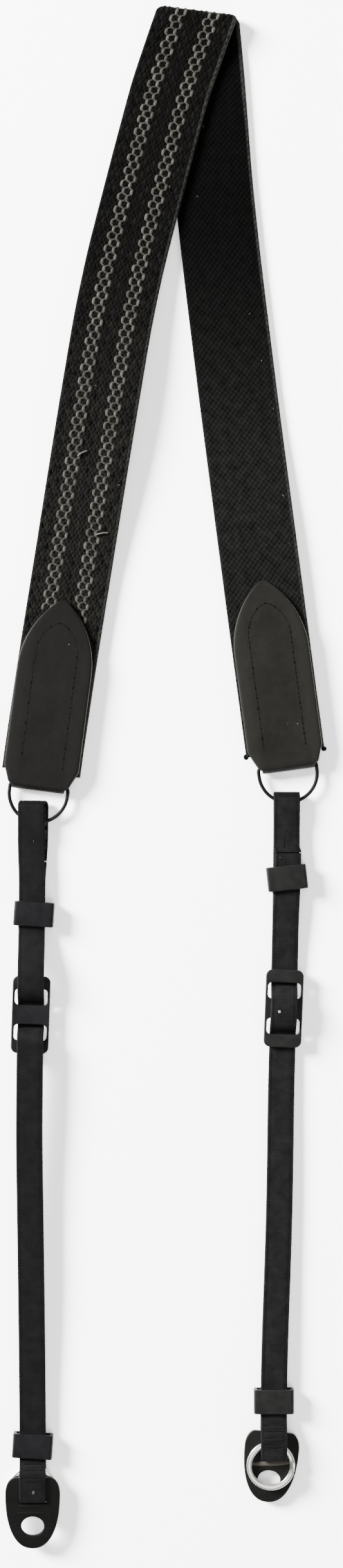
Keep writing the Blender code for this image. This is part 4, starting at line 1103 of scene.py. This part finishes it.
def plate_mesh(name, outline, holes, thickness, edge, steps=4):
    """A flat plate with holes and rounded edges, its middle at height 0."""
    levels = []
    for step in range(steps + 1):
        turn = math.pi / 2 * step / steps
        levels.append((-thickness / 2 + edge * (1 - math.cos(turn)), edge * (1 - math.sin(turn))))
    levels += [(-height, inset) for height, inset in reversed(levels)]
    vertices, faces, caps = [], [], {0: [], len(levels) - 1: []}
    for points, inward in [(outline, 1.0)] + [(hole, -1.0) for hole in holes]:
        count, base = len(points), len(vertices)
        for level, (height, inset) in enumerate(levels):
            moved = offset_loop(points, inset * inward)
            vertices += [Vector((point.x, point.y, height)) for point in moved]
            if level in caps:
                caps[level].append((moved, base + level * count))
        for level in range(len(levels) - 1):
            low = base + level * count
            for index in range(count):
                after = (index + 1) % count
                wall = (low + index, low + after, low + count + after, low + count + index)
                faces.append(wall if inward > 0 else tuple(reversed(wall)))
    for level, cap in caps.items():
        numbers = [base + index for points, base in cap for index in range(len(points))]
        flat = [[Vector((point.x, point.y, 0.0)) for point in points] for points, base in cap]
        for corners in tessellate_polygon(flat):
            places = [vertices[numbers[corner]] for corner in corners]
            up = (places[1] - places[0]).cross(places[2] - places[0]).z > 0
            face = tuple(numbers[corner] for corner in corners)
            faces.append(face if up == (level > 0) else tuple(reversed(face)))
    mesh = bpy.data.meshes.new(name)
    mesh.from_pydata([tuple(vertex) for vertex in vertices], [], faces)
    mesh.shade_smooth()
    mesh.set_sharp_from_angle(angle=math.radians(40))
    return mesh


def acetal_surface(name, dark, light):
    """Moulded plastic, matt from a lightly sparked mould."""
    surface, tree = start_surface(name)
    where = add_node(tree, "ShaderNodeTexCoord")
    spark = add_node(tree, "ShaderNodeTexNoise", {"Vector": where.outputs["Object"], "Scale": 1 / (0.25 * MM),
                                                  "Detail": 2.0})
    cloud = add_node(tree, "ShaderNodeTexNoise", {"Vector": where.outputs["Object"], "Scale": 1 / (3.0 * MM),
                                                  "Detail": 4.0})
    shades = add_node(tree, "ShaderNodeValToRGB", {"Fac": cloud.outputs["Fac"]},
                      stops=((0.3, dark), (0.8, light)))
    relief = add_node(tree, "ShaderNodeBump", {"Height": spark.outputs["Fac"], "Strength": 0.35,
                                               "Distance": 0.05 * MM})
    shader = add_node(tree, "ShaderNodeBsdfPrincipled", {
        "Base Color": shades.outputs["Color"], "Normal": relief.outputs["Normal"], "Roughness": 0.45,
        "Specular IOR Level": 0.1})
    add_node(tree, "ShaderNodeOutputMaterial", {"Surface": shader.outputs[0]})
    return surface


# Injection-moulded black acetal, with a faint sheen; the right side's copy is painted a little greyer, as
# painted light falling more on the right of the strap.
acetals = {"left": acetal_surface("moulded_black_acetal_less_worn", "#0e0e0f", "#171719"),
           "right": acetal_surface("moulded_black_acetal_worn", "#141414", "#1f1f1e")}

outline = rounded_rectangle(STRAP_WIDTH + 2 * (STRAP_CLEAR + KEEPER_WALL), 2 * (PAIR_REACH + KEEPER_WALL),
                            KEEPER_CORNER)
opening = rounded_rectangle(STRAP_WIDTH + 2 * STRAP_CLEAR, 2 * PAIR_REACH, KEEPER_CORNER / 3, steps=4)
for strap in STRAPS:
    at = strap_places(strap)
    spots = (at["keeper"], at["low_keeper"])
    for label, spot, seat in zip(("upper", "lower"), spots, KEEPER_SEAT[strap.name]):
        mesh = plate_mesh(f"keeper_loop_{label}_{strap.name}", outline, [opening], KEEPER_LENGTH, KEEPER_EDGE)
        mesh.transform(seated(strap_routes[strap.name], spot, KEEPER_MIDDLE, *seat)
                       @ Matrix.Rotation(math.pi / 2, 4, "X"))
        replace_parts(show(mesh.name, mesh, "plastic", acetals[strap.name]), f"keeper_{label}_{strap.name}")

# The slides: three-bar adjusters, moulded in one piece; both layers of webbing pass through their two slots.
# They are gripped there, because the middle bar is on the other side of them than the end bars.
SLIDE_CLEAR = 1.25 * MM         # beside the webbing
SLIDE_RAIL = 0.9 * MM
SLIDE_CORNER = 2.4 * MM
SLIDE_EDGE = 0.44 * MM
SLIDE_TURN = {"left": -1.3, "right": -0.5}
outline = rounded_rectangle(STRAP_WIDTH + 2 * (SLIDE_CLEAR + SLIDE_RAIL), SLIDE_LENGTH, SLIDE_CORNER)
slot = rounded_rectangle(STRAP_WIDTH + 2 * SLIDE_CLEAR, SLIDE_SLOT, SLIDE_SLOT / 4, steps=5)
slot_at = Vector((0.0, SLIDE_LENGTH / 2 - SLIDE_END_BAR - SLIDE_SLOT / 2))
slots = [[point + slot_at for point in slot], [point - slot_at for point in slot]]
for strap in STRAPS:
    mesh = plate_mesh(f"slide_frame_{strap.name}", outline, slots, SLIDE_THICKNESS, SLIDE_EDGE)
    mesh.transform(seated(strap_routes[strap.name], strap_places(strap)["slide"], SLIDE_MIDDLE,
                          turn=SLIDE_TURN[strap.name]))
    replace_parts(show(mesh.name, mesh, "plastic", acetals[strap.name]), f"slide_{strap.name}")

# The split rings: two turns of flat spring-steel wire, nickel-plated, joined by one step. Each hangs in the
# turn that the webbing makes at its guard.
RING_SHORT = 18.0               # degrees by which each end stops short of two full turns
RING_EDGE = 0.18 * MM           # the flat wire's rounded edges

# Bright nickel plate on steel: it mirrors the window, duller where it has been rubbed.
nickel, tree = start_surface("bright_nickel_plate")
where = add_node(tree, "ShaderNodeTexCoord")
rubbed = add_node(tree, "ShaderNodeTexNoise", {"Vector": where.outputs["Object"], "Scale": 1 / (0.6 * MM),
                                               "Detail": 4.0})
shine = add_node(tree, "ShaderNodeMapRange", {"Value": rubbed.outputs["Fac"], "To Min": 0.2, "To Max": 0.38})
shader = add_node(tree, "ShaderNodeBsdfPrincipled", {"Base Color": linear("#dedcd6"), "Metallic": 1.0,
                                                     "Roughness": shine.outputs["Result"]})
add_node(tree, "ShaderNodeOutputMaterial", {"Surface": shader.outputs[0]})

ring_path = []
for step in range(181):
    turn = RING_SHORT + (720.0 - 2 * RING_SHORT) * step / 180
    height = (RING_WIRE + GAP) * (ease((turn - 360.0 + RING_SHORT) / (2 * RING_SHORT)) - 0.5)
    ring_path.append(Vector(((RING_RADIUS - RING_WIDTH / 2) * math.cos(math.radians(turn)),
                             (RING_RADIUS - RING_WIDTH / 2) * math.sin(math.radians(turn)), height)))
x, y = RING_WIDTH / 2, RING_WIRE / 2
corner = [(x, y - RING_EDGE), (x - RING_EDGE / 3, y - RING_EDGE / 3), (x - RING_EDGE, y)]
flat_wire = corner + [(-x, y) for x, y in reversed(corner)]
flat_wire += [(-x, -y) for x, y in flat_wire]
ring_middle = RING_LOW + RING_THICKNESS / 2
for strap in STRAPS:
    mesh = wire_mesh(f"split_wire_{strap.name}", ring_path, flat_wire, False)
    mesh.transform(seated(strap_routes[strap.name], strap_places(strap)["ring"],
                          ring_middle if strap.outer_up else STACK - ring_middle, strap.ring_shift))
    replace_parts(show(mesh.name, mesh, "plated_steel", nickel), f"split_ring_{strap.name}")

# The guards: egg-shaped pieces of moulded black leather board, with a slot for the webbing and an oval hole.
# They lie between the split ring and the camera's body, so that the ring doesn't scratch it.
GUARD_HALF = 10.4 * MM
GUARD_SHOULDER_HALF = 6.8 * MM
GUARD_ROUND = 6.0 * MM
GUARD_SLOT = 1.1 * MM           # the webbing fills it
GUARD_SLOT_DROP = 0.82 * MM     # from the webbing's turn down to the slot's middle
GUARD_CLEAR = 0.06 * MM         # beside the webbing
GUARD_HOLE_AT = 18.3 * MM       # from a guard's top
GUARD_HOLE = (4.3 * MM, 3.55 * MM)      # half its width and height
GUARD_POWER = 2 / 2.3           # draws the lower half ellipse out a little at its shoulders
GUARD_EDGE = 0.45 * MM
GUARD_SEAT = {"left": (0.0, 0.0), "right": (-0.9 * MM, -5.5)}       # shift and turn


def guard_outline():
    """Egg shape with its flat top at the slot's distance above the origin, counter-clockwise."""
    right = [Vector((GUARD_SHOULDER_HALF + (GUARD_HALF - GUARD_SHOULDER_HALF) * math.cos(turn),
                     GUARD_ROUND * (math.sin(turn) - 1))) for turn in np.linspace(0, math.pi / 2, 13)]
    left = [Vector((-point.x, point.y)) for point in reversed(right)]
    bottom = []
    for turn in np.linspace(math.pi, 2 * math.pi, 49)[1:-1]:
        across, down = math.cos(turn), math.sin(turn)
        bottom.append(Vector((GUARD_HALF * math.copysign(abs(across) ** GUARD_POWER, across),
                              -GUARD_ROUND - (GUARD_LENGTH - GUARD_ROUND) * abs(down) ** GUARD_POWER)))
    return [Vector((point.x, point.y + GUARD_SLOT_AT)) for point in right + left + bottom]


# Pressed leather board, dyed through: the strap's darkest leather, with a tight surface. The right guard's
# copy is painted lighter, as painted light falling more on the right of the strap.
boards = {"left": leather_surface("black_leather_board", "#080807", "#0c0c0b"),
          "right": leather_surface("black_leather_board_worn", "#0f0f0e", "#151513")}

hole_middle = Vector((0.0, GUARD_SLOT_AT - GUARD_HOLE_AT))
hole = [hole_middle + Vector((GUARD_HOLE[0] * math.cos(turn), GUARD_HOLE[1] * math.sin(turn)))
        for turn in np.linspace(0, 2 * math.pi, 49)[:-1]]
slot = rounded_rectangle(STRAP_WIDTH + 2 * GUARD_CLEAR, GUARD_SLOT, 0.3 * MM, steps=4)
guard_middle = GUARD_LOW + GUARD_THICKNESS / 2
for strap in STRAPS:
    # The slot is cut where the webbing runs, so it doesn't shift or turn with its guard.
    shift, turn = GUARD_SEAT[strap.name]
    back = Matrix.Rotation(math.radians(-turn), 2)
    mouth = [back @ (point - Vector((shift, GUARD_SLOT_DROP))) for point in slot]
    mesh = plate_mesh(f"guard_board_{strap.name}", guard_outline(), [mouth, hole], GUARD_THICKNESS,
                      GUARD_EDGE)
    mesh.transform(seated(strap_routes[strap.name], strap_places(strap)["slot"],
                          guard_middle if strap.outer_up else STACK - guard_middle, shift, turn))
    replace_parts(show(mesh.name, mesh, "leather", boards[strap.name]), f"guard_{strap.name}")

# The moulded lip at the slot of each guard: on the right it shows, painted pale as a highlight, and on the
# left there are two low ridges in the board.
LIP_AT, LIP_TURN = Vector((41.3, -261.35, 3.05)) * MM, math.radians(2.0)
RIDGES = ((-277.3, 1.0), (-279.9, 1.1))         # height in the picture in mm, and width
# The lip is painted a dull pale brown, a painted highlight where it catches the light; the ridges are barely
# lighter than the board.
lip_highlight_board = yarn_surface("rubbed_leather_board", "#4a4741", "#54514a", 0, 0.6)
ridge_board = yarn_surface("ridged_leather_board", "#0a0a09", "#0d0d0c", 0, 0.6)
lip = (LIP_AT, Vector((math.cos(LIP_TURN), math.sin(LIP_TURN), 0)), UP, FULL_SIZE)
lay_threads("guard_lip_right", [lip], Thread(16.5 * MM, 2.1 * MM, 1.1 * MM, 0.0, 16, 16), 31, lip_highlight_board)
ridges = [(Vector((-50.0, y, 5.15)) * MM, Vector((1, 0, 0)), UP, (1.0, width, 1.0)) for y, width in RIDGES]
lay_threads("guard_ridges_left", ridges, Thread(10.4 * MM, 1.5 * MM, 0.5 * MM, 0.0, 12, 12), 37, ridge_board)

# What use has left on it: lint on the cloth, pulled pale threads at a stripe, a speck on the left guard. Each
# small thing is dropped from above onto the surface below it. The lint's places and lengths are in mm, its
# turns in degrees.
LINT = ((-16.8, 110.4, 1.3, 20), (42.0, 139.9, 0.9, 70), (45.7, 106.7, 1.1, 130), (13.1, 220.7, 1.0, 40),
        (15.3, 247.4, 0.8, 100), (51.1, 19.8, 0.7, 0), (47.4, 19.8, 0.6, 60), (-35.7, 49.9, 1.0, 150),
        (33.0, 176.0, 0.7, 15), (37.5, 158.2, 0.6, 85), (48.0, 88.5, 0.8, 120), (-49.2, -24.8, 0.9, 75),
        (-25.5, 148.0, 0.7, 160), (2.5, 224.0, 0.8, 110), (44.5, -31.0, 0.6, 140))
under_lint = [piece.data for piece in bpy.context.scene.objects
              if piece.name.startswith(("neck_band", "tab_leather", "narrow_band", "guard_board"))]
solids = [BVHTree.FromPolygons([tuple(vertex.co) for vertex in mesh.vertices],
                               [tuple(face.vertices) for face in mesh.polygons]) for mesh in under_lint]


def dropped(x, y):
    """Where something dropped at a place, in mm, comes to rest, and the surface's direction there."""
    best = (Vector((x, y, 0.0)) * MM, UP)
    for solid in solids:
        spot, normal, face, distance = solid.ray_cast(Vector((x, y, 30.0)) * MM, -UP)
        if spot is not None and spot.z > best[0].z:
            best = (spot, normal if normal.z > 0 else -normal)
    return best


# Dull fibres, from grey to off-white.
lint_grey = yarn_surface("pale_lint", "#33322f", "#5a5953", 0, 0.9)
lint_places = []
for x, y, length, turn in LINT:
    spot, up = dropped(x, y)
    ahead = Vector((math.cos(math.radians(turn)), math.sin(math.radians(turn)), 0.0))
    ahead = (ahead - up * ahead.dot(up)).normalized()
    lint_places.append((spot + up * 0.08 * MM, ahead, up, (1.0, length, 1.0)))
lay_threads("lint", lint_places, Thread(1.0 * MM, 0.32 * MM, 0.2 * MM, 0.15, 8, 6), 41, lint_grey)
speck, up = dropped(-49.1, -271.7)
lay_threads("guard_speck", [(speck, Vector((0, 1, 0)), up, FULL_SIZE)],
            Thread(1.5 * MM, 1.2 * MM, 0.5 * MM, 0.0, 12, 8), 43, lint_grey)

# Each pulled thread is a thick strand of the stripe's yarn, washed paler, that lies across the cloth with its
# middle a little off it.
PULLED = (((-32.4, 121.3), (-30.8, 122.9), (-28.9, 123.2)), ((-25.6, 91.5), (-23.6, 92.5), (-21.0, 92.3)))
# Soft cotton, the palest thing on the cloth.
loose_yarn = yarn_surface("washed_pale_yarn", "#605f59", "#6d6c66", 0, 0.9)
for number, corners in enumerate(PULLED):
    path = []
    for step in range(13):
        at = step / 12
        shares = ((1 - at) ** 2, 2 * at * (1 - at), at ** 2)
        x = sum(share * corner[0] for share, corner in zip(shares, corners))
        y = sum(share * corner[1] for share, corner in zip(shares, corners))
        spot, up = dropped(x, y)
        path.append(spot + UP * (0.35 + 0.3 * math.sin(math.pi * at)) * MM)
    strand = wire_mesh(f"pulled_thread_{number}", path, round_section(0.25 * MM, 8), False)
    show(strand.name, strand, "patterned_webbing", loose_yarn)

# On the right webbing, over the slide's middle bar, a small metal pin shows in an adjusting hole with a dark
# pressed rim.
pin_at, up = dropped(44.13, -89.3)
lay_threads("pin_rim", [(pin_at - up * 0.02 * MM, Vector((0, 1, 0)), up, FULL_SIZE)],
            Thread(2.3 * MM, 2.3 * MM, 0.26 * MM, 0.0, 20, 10), 47, sewing_black)
# Bare metal, pale and dull.
pin_grey = yarn_surface("bare_metal_pin", "#8c8b86", "#9a9994", 0, 0.4)
lay_threads("pin_head", [(pin_at + up * 0.05 * MM, Vector((0, 1, 0)), up, FULL_SIZE)],
            Thread(1.15 * MM, 1.15 * MM, 0.4 * MM, 0.0, 16, 10), 53, pin_grey)
